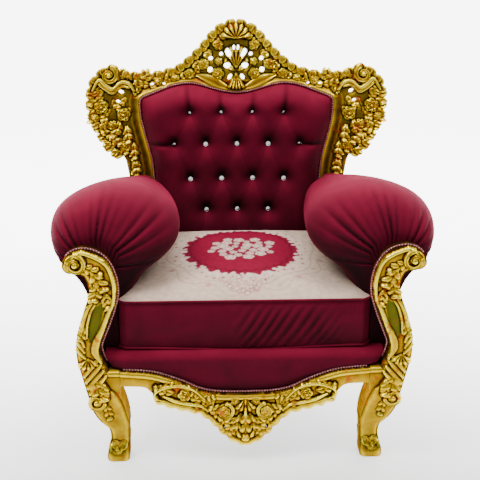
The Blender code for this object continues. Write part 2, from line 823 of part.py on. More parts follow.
def pad_swell(x, z):
    """How far the back pad's stuffing rises at a point, without its buttons: 0 to 1."""
    side = pad_half_width(min(z, back_height(0.92)))
    top = pad_top_height(x)
    near_side = max(side - abs(x), 0) / 0.07
    near_top = max(top - z, 0) / 0.07
    ease = 1.0
    for near in (near_side, near_top):
        share = min(near, 1)
        ease = min(ease, math.sqrt(1 - (1 - share) ** 2))
    return ease


def pad_height(x, z):
    """How far the buttoned back stands out of the middle of the back sheet."""
    pit = 0.0
    for height, places in BUTTON_ROWS:
        for k in places:
            away = math.hypot(x - k * BUTTON_SPACING, z - height)
            pit = max(pit, 1 - min(away / 0.05, 1))
    rest = FRAME_HALF_THICKNESS * 0.6
    return rest + PAD_SWELL * pad_swell(x, z) * (1 - 0.55 * pit)


def pad_grid():
    """Columns and rows of the pad: each button lies where two of them cross."""
    rows = [DECK_TOP + CLOTH_CLEARANCE, 0.43, 0.50]
    heights = sorted(height for height, _ in BUTTON_ROWS)
    for low, high in zip(heights, [*heights[1:], None]):
        rows.append(low)
        if high:
            rows.append((low + high) / 2)
    grid = []
    for z in [*rows, *(heights[-1] + 0.5 * CLOTH_CLEARANCE * k for k in (1, 2, 3))]:
        k = round((z - heights[-1]) / (0.5 * CLOTH_CLEARANCE)) if z > heights[-1] else 0
        row = []
        half = pad_half_width(min(z, back_height(0.90))) - CLOTH_CLEARANCE
        columns = [i * BUTTON_SPACING for i in range(5)]
        columns += [(columns[-1] + half) / 2, half - 0.012, half]
        for x in [*(-x for x in columns[:0:-1]), *columns]:
            height = z
            if k:
                top = pad_top_height(x) - CLOTH_CLEARANCE
                height = heights[-1] + (top - heights[-1]) * (0.5, 0.88, 1.0)[k - 1]
            row.append((x, height))
        grid.append(row)
    return grid


def back_pad(velvet):
    """Deep-buttoned back pad, inside the back frame."""
    grid = pad_grid()
    columns = len(grid[0])
    rear = FRAME_HALF_THICKNESS - 0.001
    points, faces = [], []
    for layer in ("front", "rear"):
        for row in grid:
            for x, z in row:
                y = -pad_height(x, z) if layer == "front" else rear
                points.append(on_back_sheet((x, y, z)))
    count = len(grid) * columns
    for r in range(len(grid) - 1):
        for c in range(columns - 1):
            a = r * columns + c
            quad = (a, a + 1, a + columns + 1, a + columns)
            faces.append(quad)
            faces.append(tuple(count + i for i in reversed(quad)))
    rim = [*range(columns), *(r * columns + columns - 1 for r in range(1, len(grid)))]
    rim += [(len(grid) - 1) * columns + c for c in range(columns - 2, -1, -1)]
    rim += [r * columns for r in range(len(grid) - 2, 0, -1)]
    for i, a in enumerate(rim):
        b = rim[(i + 1) % len(rim)]
        faces.append((a, a + count, b + count, b))
    return triangulated(solid("back_pad", (points, faces), velvet), FLAT)


def back_buttons(crystal):
    """Faceted glass buttons, one at the bottom of each pit in the pad."""
    for row, (z, places) in enumerate(BUTTON_ROWS, 1):
        for column, k in enumerate(places, 1):
            x = k * BUTTON_SPACING
            base = back_sheet(x, z) - pad_height(x, z) - 0.9 * BUTTON_RADIUS
            rings = []
            for share, out in ((0.55, 0.0), (1.0, 0.003), (0.5, 0.0085)):
                r = BUTTON_RADIUS * share
                ring = []
                for j in range(6):
                    angle = math.pi * j / 3
                    ring.append((x + r * math.cos(angle), base - out, z + r * math.sin(angle)))
                rings.append(ring)
            solid(f"button_{row}_{column}", loft(rings), crystal, smooth=False)


def back_cover(velvet):
    """Plain velvet outside back, tacked over the opening at the rear of the frame."""
    lap = 0.012
    rows = []
    for share in (0, 0.45):
        z = RAIL_TOP + 0.004 + share * (back_height(0.90) - RAIL_TOP)
        rows.append((z, pad_half_width(z) + lap, 0))
    rows.append((back_height(0.90), pad_half_width(back_height(0.90)) + lap, 0.0))
    rows.append((back_height(0.90), pad_half_width(back_height(0.90)) + lap, 1.0))
    near = FRAME_HALF_THICKNESS + JOINT_GAP * 4
    rings = []
    for z, half, rise in rows:
        front, rear = [], []
        for share in np.linspace(-1, 1, 11):
            x = share * half
            top = z + rise * (pad_top_height(min(abs(x), 0.30)) + lap - z)
            front.append(on_back_sheet((x, near, top)))
            rear.append(on_back_sheet((x, near + COVER_THICKNESS, top)))
        rings.append([*front, *reversed(rear)])
    return solid("back_cover", loft(rings), velvet)


def arm(side, velvet):
    """Overstuffed arm: an upright panel under a fat roll, full at the front and slimmer behind."""
    rounding = 0.14
    stations = []
    for q in (0.0, 0.3, 0.6, 1.0):
        y = ARM_FRONT + rounding * (1 - math.cos(q * math.pi / 2))
        stations.append((y, math.sin(q * math.pi / 2)))
    stations += [(y, 1.0) for y in np.linspace(ARM_FRONT + rounding, ARM_BACK, 4)[1:]]
    rings = []
    nose = SEAT_HALF_FRONT + 0.069
    for y, full in stations:
        share = (y - ARM_FRONT) / (ARM_BACK - ARM_FRONT)
        taper = max(0.0, (share - 0.25) / 0.75) ** 1.2
        inner, outer = arm_inner(y), arm_inner(y) + ARM_PANEL
        wide = ROLL_HALF_WIDTH + (ROLL_HALF_WIDTH_BACK - ROLL_HALF_WIDTH) * taper
        tall = ROLL_HALF_HEIGHT + (ROLL_HALF_HEIGHT_BACK - ROLL_HALF_HEIGHT) * taper
        centre_x = ROLL_CENTRE + (ROLL_CENTRE_BACK - ROLL_CENTRE) * taper
        centre_z = ROLL_CENTRE_HEIGHT + (ROLL_CENTRE_HEIGHT_BACK - ROLL_CENTRE_HEIGHT) * taper
        wide = 0.078 + (wide - 0.078) * full
        tall = 0.058 + (tall - 0.058) * full
        centre_x = nose + (centre_x - nose) * full
        centre_z = POST_TOP - 0.040 + (centre_z - POST_TOP + 0.040) * full
        crease = centre_z - tall * 0.88
        ring = [(outer, y, RAIL_TOP + JOINT_GAP), (outer, y, crease)]
        for angle in np.linspace(-48, 228, 15):
            a = math.radians(angle)
            ring.append((centre_x + wide * math.cos(a), y, centre_z + tall * math.sin(a)))
        ring += [(inner, y, crease - 0.02), (inner, y, RAIL_TOP + JOINT_GAP)]
        rings.append(ring)
    rings[-1] = [(x, arm_end(x, z), z) for x, _, z in rings[-1]]
    middle = SEAT_HALF_BACK + 0.5 * ARM_PANEL
    for share in (0.7, 0.35):
        inset = []
        for x, _, z in rings[len(stations) - 1]:
            x = middle + share * (x - middle)
            z = 0.55 + share * (z - 0.55)
            inset.append((x, arm_end(x, z), z))
        rings.append(inset)
    shape = loft(rings)
    return solid(f"arm_{side_name(side)}", mirrored(shape) if side < 0 else shape, velvet)


def arm_end(x, z):
    """Where the arm stops: against the smooth stile, short of the wing's carving, or on the pad."""
    carved = min(max((z - 0.60) / 0.04, 0), 1)
    stop = back_sheet(x, z) - FRAME_HALF_THICKNESS * 1.27 - 0.0015 - 0.020 * carved
    if x < pad_half_width(z) + 0.012:
        swell = pad_swell(min(x, pad_half_width(z)) - 0.02, z)
        rise = FRAME_HALF_THICKNESS * 0.6 + PAD_SWELL * swell
        stop = min(stop, back_sheet(x, z) - rise - 0.005)
    return stop


# Braid with nail heads, where the cloth meets the gilding
def trim(name, points, facing, braid):
    """Flat braid along the points, lying in the plane across `facing`."""
    facing = np.array(facing, float)
    path = np.array(points, float)
    rings = []
    for i, point in enumerate(path):
        along = path[min(i + 1, len(path) - 1)] - path[max(i - 1, 0)]
        across = np.cross(facing, along)
        across *= TRIM_WIDTH / 2 / np.linalg.norm(across)
        out = facing * TRIM_THICKNESS
        rings.append([point - across, point + across, point + out])
    return solid(name, loft(rings), braid)


def trims(braid):
    """Braid round the back pad and along the front rail."""
    rungs = back_rungs(RUNGS_A_SIDE)[4:RUNGS_A_SIDE]
    inner, outer = rungs[:, :2], rungs[:, 2:]
    across = (outer - inner) / np.linalg.norm(outer - inner, axis=1)[:, None]
    edge = inner + across * (TRIM_WIDTH / 2 + 0.001)
    half = [on_back_sheet((x, -FRAME_HALF_THICKNESS * 1.27, z)) for x, z in edge]
    whole = [*half, *((-x, y, z) for x, y, z in half[-2::-1])]
    trim("braid_back", whole, (0, -1, 0), braid)
    near = RAIL_FRONT + 0.012 - 0.004
    line = []
    stations = RAIL_STATIONS[:-1]
    for x in [*(-stations[:0:-1]), *stations]:
        line.append((x, near - 0.001, rail_top_height(x) + TRIM_WIDTH))
    trim("braid_rail", line, (0, -1, 0), braid)


def finish(name, colour, roughness, metallic=0.0):
    material = bpy.data.materials.new(name)
    material.use_nodes = True
    shader = material.node_tree.nodes["Principled BSDF"]
    shader.inputs["Base Color"].default_value = (*colour, 1.0)
    shader.inputs["Roughness"].default_value = roughness
    shader.inputs["Metallic"].default_value = metallic
    material.diffuse_color = (*colour, 1.0)
    return material


def build():
    for old in list(bpy.data.objects):
        bpy.data.objects.remove(old)
    gilt = finish("gold leaf", (0.66, 0.43, 0.07), 0.3, 1.0)
    velvet = finish("burgundy velvet", (0.17, 0.006, 0.026), 0.8)
    crystal = finish("glass button", (0.85, 0.87, 0.9), 0.08)
    braid = finish("rose braid", (0.42, 0.13, 0.14), 0.55)
    back_frame(gilt)
    front_rail(gilt)
    back_rail(gilt)
    for side in SIDES:
        front_post(side, gilt)
        side_rail(side, gilt)
        rear_leg(side, gilt)
        arm(side, velvet)
    seat_deck(velvet)
    seat_cushion(velvet)
    back_pad(velvet)
    back_cover(velvet)
    back_buttons(crystal)
    trims(braid)


build()
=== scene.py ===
import math

import bmesh
import bpy
import numpy as np
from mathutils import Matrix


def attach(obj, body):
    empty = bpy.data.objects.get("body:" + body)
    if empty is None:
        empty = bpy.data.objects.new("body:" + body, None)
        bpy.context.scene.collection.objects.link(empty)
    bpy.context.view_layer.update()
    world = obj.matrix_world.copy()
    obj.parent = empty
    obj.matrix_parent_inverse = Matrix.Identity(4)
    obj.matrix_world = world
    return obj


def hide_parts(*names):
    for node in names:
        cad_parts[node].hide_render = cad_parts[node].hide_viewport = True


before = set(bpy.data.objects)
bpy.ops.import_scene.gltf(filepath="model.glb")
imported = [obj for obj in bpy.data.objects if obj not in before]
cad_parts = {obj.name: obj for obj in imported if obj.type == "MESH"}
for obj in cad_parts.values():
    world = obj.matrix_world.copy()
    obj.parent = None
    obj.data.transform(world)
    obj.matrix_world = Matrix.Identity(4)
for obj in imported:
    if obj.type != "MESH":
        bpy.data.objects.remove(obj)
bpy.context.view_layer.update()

# Back frame
# Crest, wings and stiles are carved from beech, glued up as one pierced frame. The wood is
# gessoed, laid with red bole and gold leaf, burnished on the high spots and glazed
# brown in the hollows. Its colour also holds painted shade in the hollows and painted
# highlights on the high edges, so the eye sees bright yellow edges over dark green-brown depths.
FRAME_HALF, WING_HALF = 0.018, 0.487
# Up the frame from the rear rail, in metres: (x, z) on the pad's edge, then (x, z) on the outline
RUNGS = (
    (0.257, 0.295, 0.336, 0.295), (0.264, 0.449, 0.343, 0.449), (0.275, 0.600, 0.360, 0.600),
    (0.280, 0.667, 0.368, 0.664), (0.284, 0.712, 0.382, 0.720), (0.294, 0.758, 0.425, 0.758),
    (0.306, 0.805, 0.457, 0.813), (0.317, 0.853, 0.480, 0.869), (0.321, 0.890, 0.487, 0.926),
    (0.322, 0.911, 0.476, 0.980), (0.316, 0.924, 0.443, 1.014), (0.295, 0.932, 0.409, 1.021),
    (0.264, 0.943, 0.365, 1.002), (0.227, 0.956, 0.307, 0.992), (0.191, 0.964, 0.248, 1.000),
    (0.155, 0.966, 0.196, 1.015), (0.119, 0.959, 0.156, 1.043), (0.083, 0.948, 0.114, 1.083),
    (0.041, 0.937, 0.060, 1.142), (0.000, 0.932, 0.000, 1.166),
)


def smooth_path(points, count):
    """Catmull-Rom curve through the points, at even steps of its length in the first two columns."""
    p = np.array(points, float)
    padded = np.vstack([2 * p[0] - p[1], p, 2 * p[-1] - p[-2]])
    t = np.linspace(0, 1, 12, endpoint=False)[:, None]
    fine = []
    for a, b, c, d in zip(padded, padded[1:], padded[2:], padded[3:]):
        square = (2 * a - 5 * b + 4 * c - d) * t**2
        fine.append(0.5 * (2 * b + (c - a) * t + square + (3 * b - a - 3 * c + d) * t**3))
    fine = np.vstack([*fine, p[-1:]])
    length = lengths(fine[:, :2])
    return np.column_stack([np.interp(np.linspace(0, length[-1], count), length, c) for c in fine.T])


def lengths(line):
    """How far along a line each of its points is."""
    return np.concatenate([[0], np.cumsum(np.linalg.norm(np.diff(line, axis=0), axis=1))])


def on_line(line, along):
    """The point that far along a line, and the line's heading there in degrees."""
    steps = lengths(line[:, :2])
    x, z = (float(np.interp(along, steps, line[:, i])) for i in (0, 1))
    x2, z2 = (float(np.interp(along + 0.004, steps, line[:, i])) for i in (0, 1))
    return x, z, math.degrees(math.atan2(z2 - z, x2 - x))


def beside(line, along, offset):
    """The point that far along a line and that far to its left, and the line's heading there."""
    x, z, heading = on_line(line, along)
    left = math.radians(heading + 90)
    return x + offset * math.cos(left), z + offset * math.sin(left), heading


def distance(x, z, line):
    """Distance of each point to a polyline."""
    best = np.full(x.shape, 9.0)
    for (ax, az), (bx, bz) in zip(line[:-1], line[1:]):
        dx, dz = bx - ax, bz - az
        t = np.clip(((x - ax) * dx + (z - az) * dz) / max(dx * dx + dz * dz, 1e-12), 0, 1)
        best = np.minimum(best, np.hypot(x - ax - t * dx, z - az - t * dz))
    return best


def within(x, z, loop):
    """Whether each point lies inside a closed loop."""
    inside = np.zeros(x.shape, bool)
    for (ax, az), (bx, bz) in zip(loop, np.roll(loop, -1, axis=0)):
        if az != bz:
            crosses = (az > z) != (bz > z)
            inside ^= crosses & (x < (bx - ax) * (z - az) / (bz - az) + ax)
    return inside


def blurred(field, radius):
    """The field smoothed by a Gaussian, its radius in cells."""
    pad = int(3 * radius) + 1
    wide = np.pad(field, pad, mode="edge")
    fx = np.fft.rfftfreq(wide.shape[1])[None, :]
    fz = np.fft.fftfreq(wide.shape[0])[:, None]
    soft = np.exp(-2 * (math.pi * radius) ** 2 * (fx**2 + fz**2))
    return np.fft.irfft2(np.fft.rfft2(wide) * soft, wide.shape)[pad:-pad, pad:-pad]


def across_path(x, z, path):
    """Place across a path of (x, z, half width): 0 on it to 1 at its edge, and how far inside."""
    gaps = np.hypot(x[..., None] - path[:, 0], z[..., None] - path[:, 1])
    nearest = np.argmin(gaps - path[:, 2], axis=-1)
    gap = np.take_along_axis(gaps, nearest[..., None], -1)[..., 0]
    return np.clip(gap / path[nearest, 2], 0, 1), path[nearest, 2] - gap


def moulded(p, hollow):
    """Height across a moulding, as a share: plainly round, or hollowed between two raised edges."""
    return (1 - hollow * (1 - p**2) ** 2) * np.sqrt(1 - 0.9 * p**4)


class Board:
    """A carver's board: how far the wood rises, and how far inside its outline each point is."""

    def __init__(self, low, high, cell, cut=0.0035):
        self.cell, self.cut = cell, cut
        xs = np.arange(low[0], high[0] + cell / 2, cell)
        zs = np.arange(low[1], high[1] + cell / 2, cell)
        self.x, self.z = np.meshgrid(xs, zs)
        self.rise = np.zeros(self.x.shape)
        self.edge = np.full(self.x.shape, -1.0)
        self.glaze_and_painted_shade = np.zeros(self.x.shape)

    def part(self, low, high):
        """The cells between two corners."""
        rows = np.flatnonzero((self.z[:, 0] > low[1]) & (self.z[:, 0] < high[1]))
        columns = np.flatnonzero((self.x[0] > low[0]) & (self.x[0] < high[0]))
        if not len(rows) or not len(columns):
            return None
        return np.s_[rows[0] : rows[-1] + 1, columns[0] : columns[-1] + 1]

    def lay(self, part, rise, inside, free):
        """Lays a form over what is there, with a cut round it. A free one may pass the outline."""
        old = self.rise[part]
        cut = np.maximum(old - self.cut * np.exp(-np.clip(-inside, 0, None) / 0.0022), -0.004)
        self.rise[part] = np.where(inside > 0, np.maximum(old - 0.002, rise), cut)
        self.glaze_and_painted_shade[part] = np.where(inside > 0, 0, self.glaze_and_painted_shade[part])
        if free:
            self.edge[part] = np.maximum(self.edge[part], inside)

    def carve(self, motif, x, z, turn, size, lift, free=True, **form):
        """Carves a motif of that size at (x, z), turned from +X towards +Z."""
        part = self.part((x - 1.2 * size, z - 1.2 * size), (x + 1.2 * size, z + 1.2 * size))
        if part is None:
            return
        dx, dz = (self.x[part] - x) / size, (self.z[part] - z) / size
        c, s = math.cos(math.radians(turn)), math.sin(math.radians(turn))
        u, v = dx * c + dz * s, dz * c - dx * s
        rise, inside = motif(u, v, **form)
        self.lay(part, lift + rise * size, inside * size, free)

    def band(self, points, lift, height, hollow=0.0):
        """Carves a moulding along a smooth path of (x, z, half width)."""
        path = smooth_path(points, 9 * len(points))
        low, high = path.min(axis=0), path.max(axis=0)
        reach = high[2] + 0.008
        part = self.part((low[0] - reach, low[1] - reach), (high[0] + reach, high[1] + reach))
        if part is None:
            return
        p, inside = across_path(self.x[part], self.z[part], path)
        self.lay(part, lift + height * moulded(p, hollow), inside, True)

    def cells(self):
        """The cells that are wood, in one piece, with no two that meet only at a corner."""
        keep = self.edge > 0
        cell = keep[:-1, :-1] & keep[1:, :-1] & keep[:-1, 1:] & keep[1:, 1:]
        for _ in range(3):
            a, b, c, d = cell[:-1, :-1], cell[1:, 1:], cell[1:, :-1], cell[:-1, 1:]
            c |= a & b & ~d
            a |= c & d & ~b
        seen = np.zeros_like(cell)
        row = np.argmax(cell.sum(axis=1))
        seen[row, np.argmax(cell[row])] = True
        count = 0
        while count != seen.sum():
            count = seen.sum()
            for _ in range(40):
                seen[1:] |= seen[:-1]
                seen[:-1] |= seen[1:]
                seen[:, 1:] |= seen[:, :-1]
                seen[:, :-1] |= seen[:, 1:]
                seen &= cell
        return seen

    def glaze_burnish_and_painted_light(self):
        """0 in the hollows, where the glaze lies and shade is painted, to 1 on the burnished edges, where
        highlights are painted.
        """
        fine = (self.rise - blurred(self.rise, 0.0032 / self.cell)) / 0.0034
        broad = (self.rise - blurred(self.rise, 0.011 / self.cell)) / 0.012
        return np.clip(0.5 + 0.42 * fine + 0.5 * broad - self.glaze_and_painted_shade, 0, 1)

    def piece(self, name, front, back, contrast=1.0):
        """A closed mesh: the carved front, a plain back and walls along the outline."""
        cell = self.cells()
        used = np.zeros(self.x.shape, int)
        for rows, columns in ((0, 0), (0, 1), (1, 0), (1, 1)):
            used[rows : rows + cell.shape[0], columns : columns + cell.shape[1]] += cell
        gz, gx = np.gradient(self.edge, self.cell)
        pull = np.clip(self.edge, -self.cell, self.cell) / np.maximum(gx**2 + gz**2, 0.3)
        pull *= used < 4
        x, z = self.x - pull * gx, self.z - pull * gz
        index = np.cumsum(used.ravel() > 0).reshape(used.shape) - 1
        on = used > 0
        total = int(on.sum())
        near = front(x, z) - self.rise
        far = np.maximum(back(x, z), near + 0.002)
        far = np.where(self.sawn < 0.0005, np.minimum(far, near + 0.009), far)
        points = np.vstack(
            [np.column_stack([x[on], near[on], z[on]]), np.column_stack([x[on], far[on], z[on]])]
        )
        a, b = index[:-1, :-1], index[:-1, 1:]
        c, d = index[1:, 1:], index[1:, :-1]
        quads = np.column_stack([k[cell] for k in (a, b, c, d)])
        faces = [quads, quads[:, ::-1] + total]
        gap = np.pad(cell, 1)
        rows, columns = cell.shape
        for down, right, p, q in ((-1, 0, a, b), (0, 1, b, c), (1, 0, c, d), (0, -1, d, a)):
            rim = cell & ~gap[1 + down : 1 + down + rows, 1 + right : 1 + right + columns]
            faces.append(np.column_stack([q[rim], p[rim], p[rim] + total, q[rim] + total]))
        thing = new_mesh(name, points, np.vstack(faces))
        # Front points take the relief's tone; back and wall points take a low tone, which is painted shade on
        # the sides and inner faces
        tone = np.concatenate([0.52 + contrast * (self.glaze_burnish_and_painted_light()[on] - 0.52), np.full(total, 0.21)])
        thing.data.attributes.new("glaze_burnish_and_painted_light", "FLOAT", "POINT").data.foreach_set("value", tone)
        tint = np.concatenate([self.glaze_and_painted_shade[on], np.zeros(total)])
        thing.data.attributes.new("glaze_and_painted_shade", "FLOAT", "POINT").data.foreach_set("value", tint)
        plain_back(thing, total)
        return thing


def new_mesh(name, points, faces):
    """A smooth-shaded mesh object from points and faces."""
    mesh = bpy.data.meshes.new(name)
    faces = faces.tolist() if isinstance(faces, np.ndarray) else [[int(i) for i in face] for face in faces]
    mesh.from_pydata(np.asarray(points).tolist(), [], faces)
    mesh.shade_smooth()
    mesh.set_sharp_from_angle(angle=math.radians(55))
    thing = bpy.data.objects.new(name, mesh)
    bpy.context.scene.collection.objects.link(thing)
    return thing


def plain_back(thing, first):
    """Joins the small faces of a board's flat back, whose points are those from `first` on."""
    work = bmesh.new()
    work.from_mesh(thing.data)
    rear = [point for point in work.verts if point.index >= first]
    edges = [e for e in work.edges if min(e.verts[0].index, e.verts[1].index) >= first]
    bmesh.ops.dissolve_limit(work, angle_limit=math.radians(1.2), verts=rear, edges=edges)
    work.to_mesh(thing.data)
    work.free()


def mirrored(board):
    """The whole board from its right half, whose first column is the middle."""
    for name in ("rise", "edge", "z", "glaze_and_painted_shade", "sawn"):
        half = getattr(board, name)
        setattr(board, name, np.hstack([half[:, :0:-1], half]))
    board.x = np.hstack([-board.x[:, :0:-1], board.x])
    return board


# The carver's motifs, one unit long or in radius: how far each point rises, and how far inside it is
def acanthus(u, v, lobes=3, curl=0.0, width=0.31):
    """Leaf from its root to its tip, with slanted lobes on both sides of a grooved rib."""
    v = v - curl * np.clip(u, 0, 1.2) ** 2
    side = np.abs(v)
    slant = u - 0.5 * side
    t = np.clip(slant, 0, 1)
    lobe = np.abs(np.sin(math.pi * lobes * t)) ** 0.7
    half = width * np.sin(math.pi * (0.14 + 0.82 * t)) ** 0.7 * (0.5 + 0.5 * lobe)
    inside = np.minimum(half - side, np.minimum(slant + 0.05, 1 - slant))
    share = np.clip(side / np.maximum(half, 1e-3), 0, 1)
    swell = 0.11 + 0.05 * np.sin(math.pi * t) + 0.10 * np.exp(-(((t - 0.84) / 0.13) ** 2))
    rise = swell * np.sqrt(1 - 0.9 * share**2.5) * (0.45 + 0.55 * lobe)
    return rise - 0.05 * np.exp(-((side / 0.035) ** 2)) * (t < 0.8), inside


def scale(u, v):
    """Cupped petal: a raised rim round a hollow, its tip turned up."""
    e = np.hypot((u - 0.5) / 0.5, v / 0.42)
    cup = (1 - 0.6 * np.clip(1 - e / 0.8, 0, 1)) * (0.80 + 0.20 * np.cos(14 * np.arctan2(v, u + 0.2)))
    return (0.13 + 0.20 * np.clip(u, 0, 1)) * cup * np.sqrt(np.clip(1 - 0.9 * e**6, 0, 1)), 0.42 * (1 - e)


def rose(u, v, petals=5):
    """Open rose: three rounds of cupped petals about a bud."""
    r, a = np.hypot(u, v), np.arctan2(v, u)
    rise = np.zeros(r.shape)
    rim = None
    for share, level, offset in ((1.0, 0.30, 0.0), (0.70, 0.46, math.pi / petals), (0.42, 0.60, 0.3)):
        lip = share * (0.78 + 0.22 * np.abs(np.cos(petals * (a + offset) / 2)) ** 0.6)
        rim = lip if rim is None else rim
        cup = level * (0.40 + 0.60 * np.clip(r / lip, 0, 1) ** 2.5)
        rise = np.where(r < lip, cup, rise)
    rise = np.where(r < 0.18, 0.66 - 2.0 * r**2, rise)
    return rise * (1 - 0.4 * np.clip(r / rim, 0, 1) ** 10), rim - r


def volute(u, v, turns=1.3, wide=0.20, hollow=0.45):
    """Scroll that winds in to a raised eye over a sunk disc."""
    t = np.linspace(0, 1, 46)
    radius = 0.80 * (1 - 0.72 * t)
    angle = 2 * math.pi * turns * t
    path = np.column_stack([radius * np.sin(angle), -radius * np.cos(angle), wide * (1 - 0.45 * t)])
    p, inside = across_path(u, v, path)
    r = np.hypot(u, v)
    rise = np.where(inside > 0, 0.36 * moulded(p, hollow), 0.04)
    eye = 0.20 + 0.2 * np.sqrt(np.clip(1 - (r / 0.24) ** 2, 0, 1))
    return np.where(r < 0.24, np.maximum(rise, eye), rise), np.maximum(inside, 0.78 - r)


def shell(u, v, ribs=7, spread=150.0, rise_at=0.7):
    """Shell or palmette: ribs that spread from a root and end in scallops."""
    r, a = np.hypot(u, v), np.arctan2(v, u)
    turn = math.radians(spread)
    ridge = np.abs(np.sin(math.pi * ribs * (a / turn + 0.5)))
    rim = 0.84 + 0.16 * ridge**0.6
    inside = np.minimum(np.minimum(rim - r, (turn / 2 - np.abs(a)) * r), r - 0.04)
    rise = (0.12 + 0.26 * np.exp(-(((r - rise_at) / 0.3) ** 2))) * (0.35 + 0.65 * ridge)
    return rise * np.sqrt(np.clip(1 - (r / rim) ** 6 * 0.7, 0, 1)), inside


def settle(thing, node):
    """The piece rides with the chair and may stand for its node."""
    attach(thing, "root")
    if node:
        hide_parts(node)


def linear(code):
    """An sRGB hex colour as linear values."""
    values = [int(code[i : i + 2], 16) / 255 for i in (1, 3, 5)]
    return tuple(v / 12.92 if v <= 0.04045 else ((v + 0.055) / 1.055) ** 2.4 for v in values)


def join(tree, node, links):
    """Links outputs, or the first outputs of other nodes, to that node's sockets."""
    for name, source in links:
        tree.links.new(node.inputs[name], getattr(source, "outputs", [source])[0])


def add(tree, kind, links=(), stops=(), **settings):
    """Adds a node: settings by socket or property name, or i and a socket's number, and a
    ramp's stops as (place, colour or grey)."""
    node = tree.nodes.new(kind)
    for name, value in settings.items():
        socket = node.inputs.get(name.replace("_", " "))
        if hasattr(node, name):
            setattr(node, name, value)
        elif socket is not None:
            socket.default_value = value
        else:
            node.inputs[int(name[1:])].default_value = value
    for _ in stops[2:]:
        node.color_ramp.elements.new(0.5)
    for k, (place, colour) in enumerate(stops):
        node.color_ramp.elements[k].position = place
        colour = linear(colour) if isinstance(colour, str) else (colour,) * 3
        node.color_ramp.elements[k].color = (*colour, 1)
    join(tree, node, links)
    return node


def new_material(name, **settings):
    """A material, its tree, its shader and the object's own coordinates in it."""
    material = bpy.data.materials.new(name)
    material.use_nodes = True
    tree = material.node_tree
    shader = tree.nodes["Principled BSDF"]
    for socket, value in settings.items():
        shader.inputs[socket.replace("_", " ")].default_value = value
    return material, tree, shader, add(tree, "ShaderNodeTexCoord").outputs["Object"]


def water_gilding(name, carved):
    """Leaf over red bole, burnished on the high spots; a brown glaze stays in the hollows. The tone attribute
    also paints shade into the hollows and highlights onto the high spots.
    """
    material, tree, shader, coords = new_material(name, Metallic=1.0, Specular_Tint=(1, 0.72, 0.25, 1))
    cloud = add(tree, "ShaderNodeTexNoise", [("Vector", coords)], Scale=1 / 0.026, Detail=4.0)
    if carved:
        # Painted light: dark painted shade in the hollows and pale painted highlights on the edges, along
        # with the glaze and the burnish
        tone = add(tree, "ShaderNodeAttribute", attribute_name="glaze_burnish_and_painted_light").outputs["Fac"]
        shade = add(tree, "ShaderNodeMath", [(0, cloud), (2, tone)], operation="MULTIPLY_ADD", i1=0.3)
        shade = add(tree, "ShaderNodeMath", [(0, shade)], operation="SUBTRACT", i1=0.15)
    else:
        shade = add(tree, "ShaderNodeMath", [(0, cloud)], operation="MULTIPLY", i1=0.66)
    leaf = add(
        tree, "ShaderNodeValToRGB", [("Fac", shade)],
        [(0.05, "#1a1002"), (0.24, "#5a3c04"), (0.44, "#a88208"), (0.64, "#dcb816"), (0.90, "#fff044")],
    )
    patches = add(
        tree, "ShaderNodeTexNoise", [("Vector", coords)], Scale=1 / 0.030, Detail=5.0, Distortion=0.4
    )
    bole = add(tree, "ShaderNodeValToRGB", [("Fac", patches)], [(0.60, 0.0), (0.68, 0.75)])
    # The olive glaze tint, which also marks painted shade on the sunk ground
    glaze_and_painted_shade = add(tree, "ShaderNodeAttribute", attribute_name="glaze_and_painted_shade").outputs["Fac"]
    glaze_and_painted_shade = add(tree, "ShaderNodeValToRGB", [("Fac", glaze_and_painted_shade)], [(0.07, 0.0), (0.20, 0.75)])
    for share, code in ((bole, "#b04a18"), (glaze_and_painted_shade, "#5c6420")):
        colour = (*linear(code), 1)
        leaf = add(tree, "ShaderNodeMix", [(0, share), (6, leaf)], data_type="RGBA", i7=colour).outputs[2]
    gloss = add(tree, "ShaderNodeMapRange", [("Value", shade)], i1=0.1, i2=0.8, i3=0.60, i4=0.30)
    gesso = add(tree, "ShaderNodeTexNoise", [("Vector", coords)], Scale=1 / 0.004, Detail=3.0)
    bump = add(tree, "ShaderNodeBump", [("Height", gesso)], Strength=0.18, Distance=0.001)
    join(tree, shader, [("Base Color", leaf), ("Roughness", gloss), ("Normal", bump)])
    return material


gilding = water_gilding("burnished gold leaf over bole", True)


def back_sheet(x, z):
    """Depth of the middle of the back: it leans back, and its wings come forward."""
    return 0.300 + 0.115 * (z - 0.295) - 0.075 * (x / WING_HALF) ** 2


rungs = smooth_path([(c, d, a, b) for a, b, c, d in RUNGS], 80)
outer_line, inner_line = rungs[:, :2], rungs[:, 2:]
crest = Board((0, 0.295), (0.502, 1.180), 0.002)
solid_wood = within(crest.x, crest.z, np.vstack([outer_line, inner_line[::-1]]))
from_pad = distance(crest.x, crest.z, inner_line)
from_rim = distance(crest.x, crest.z, outer_line)
opening = within(crest.x, crest.z, np.vstack([inner_line, [(-0.1, 0.932), (-0.1, 0.295)]]))
inset = np.clip((crest.z - 0.70) / 0.05, 0, 1) * 0.009
crest.edge = np.where(
    solid_wood, np.minimum(from_pad, from_rim - inset), -np.minimum(from_pad, from_rim + inset)
)
bead = 0.0165 + 0.0030 * np.sqrt(np.clip(1 - ((from_pad - 0.0065) / 0.0065) ** 2, 0, 1))
cove = 0.0165 - 0.0065 * np.sin(math.pi * np.clip((from_pad - 0.013) / 0.030, 0, 1)) ** 1.2
crest.rise = np.where(from_pad < 0.013, bead, cove) - 0.008 * np.exp(-from_rim / 0.006)
crest.rise -= 0.004 * np.clip((from_pad - 0.036) / 0.006, 0, 1)
# Olive glaze tint and painted shade in the cove beside the pad and on the sunk ground of the wings
crest.glaze_and_painted_shade = 0.12 * np.exp(-(((from_pad - 0.020) / 0.016) ** 2)) * (crest.z < 0.925)
crest.glaze_and_painted_shade += 0.13 * (from_pad > 0.040)
moulding, crest.sawn = crest.rise.copy(), crest.edge.copy()

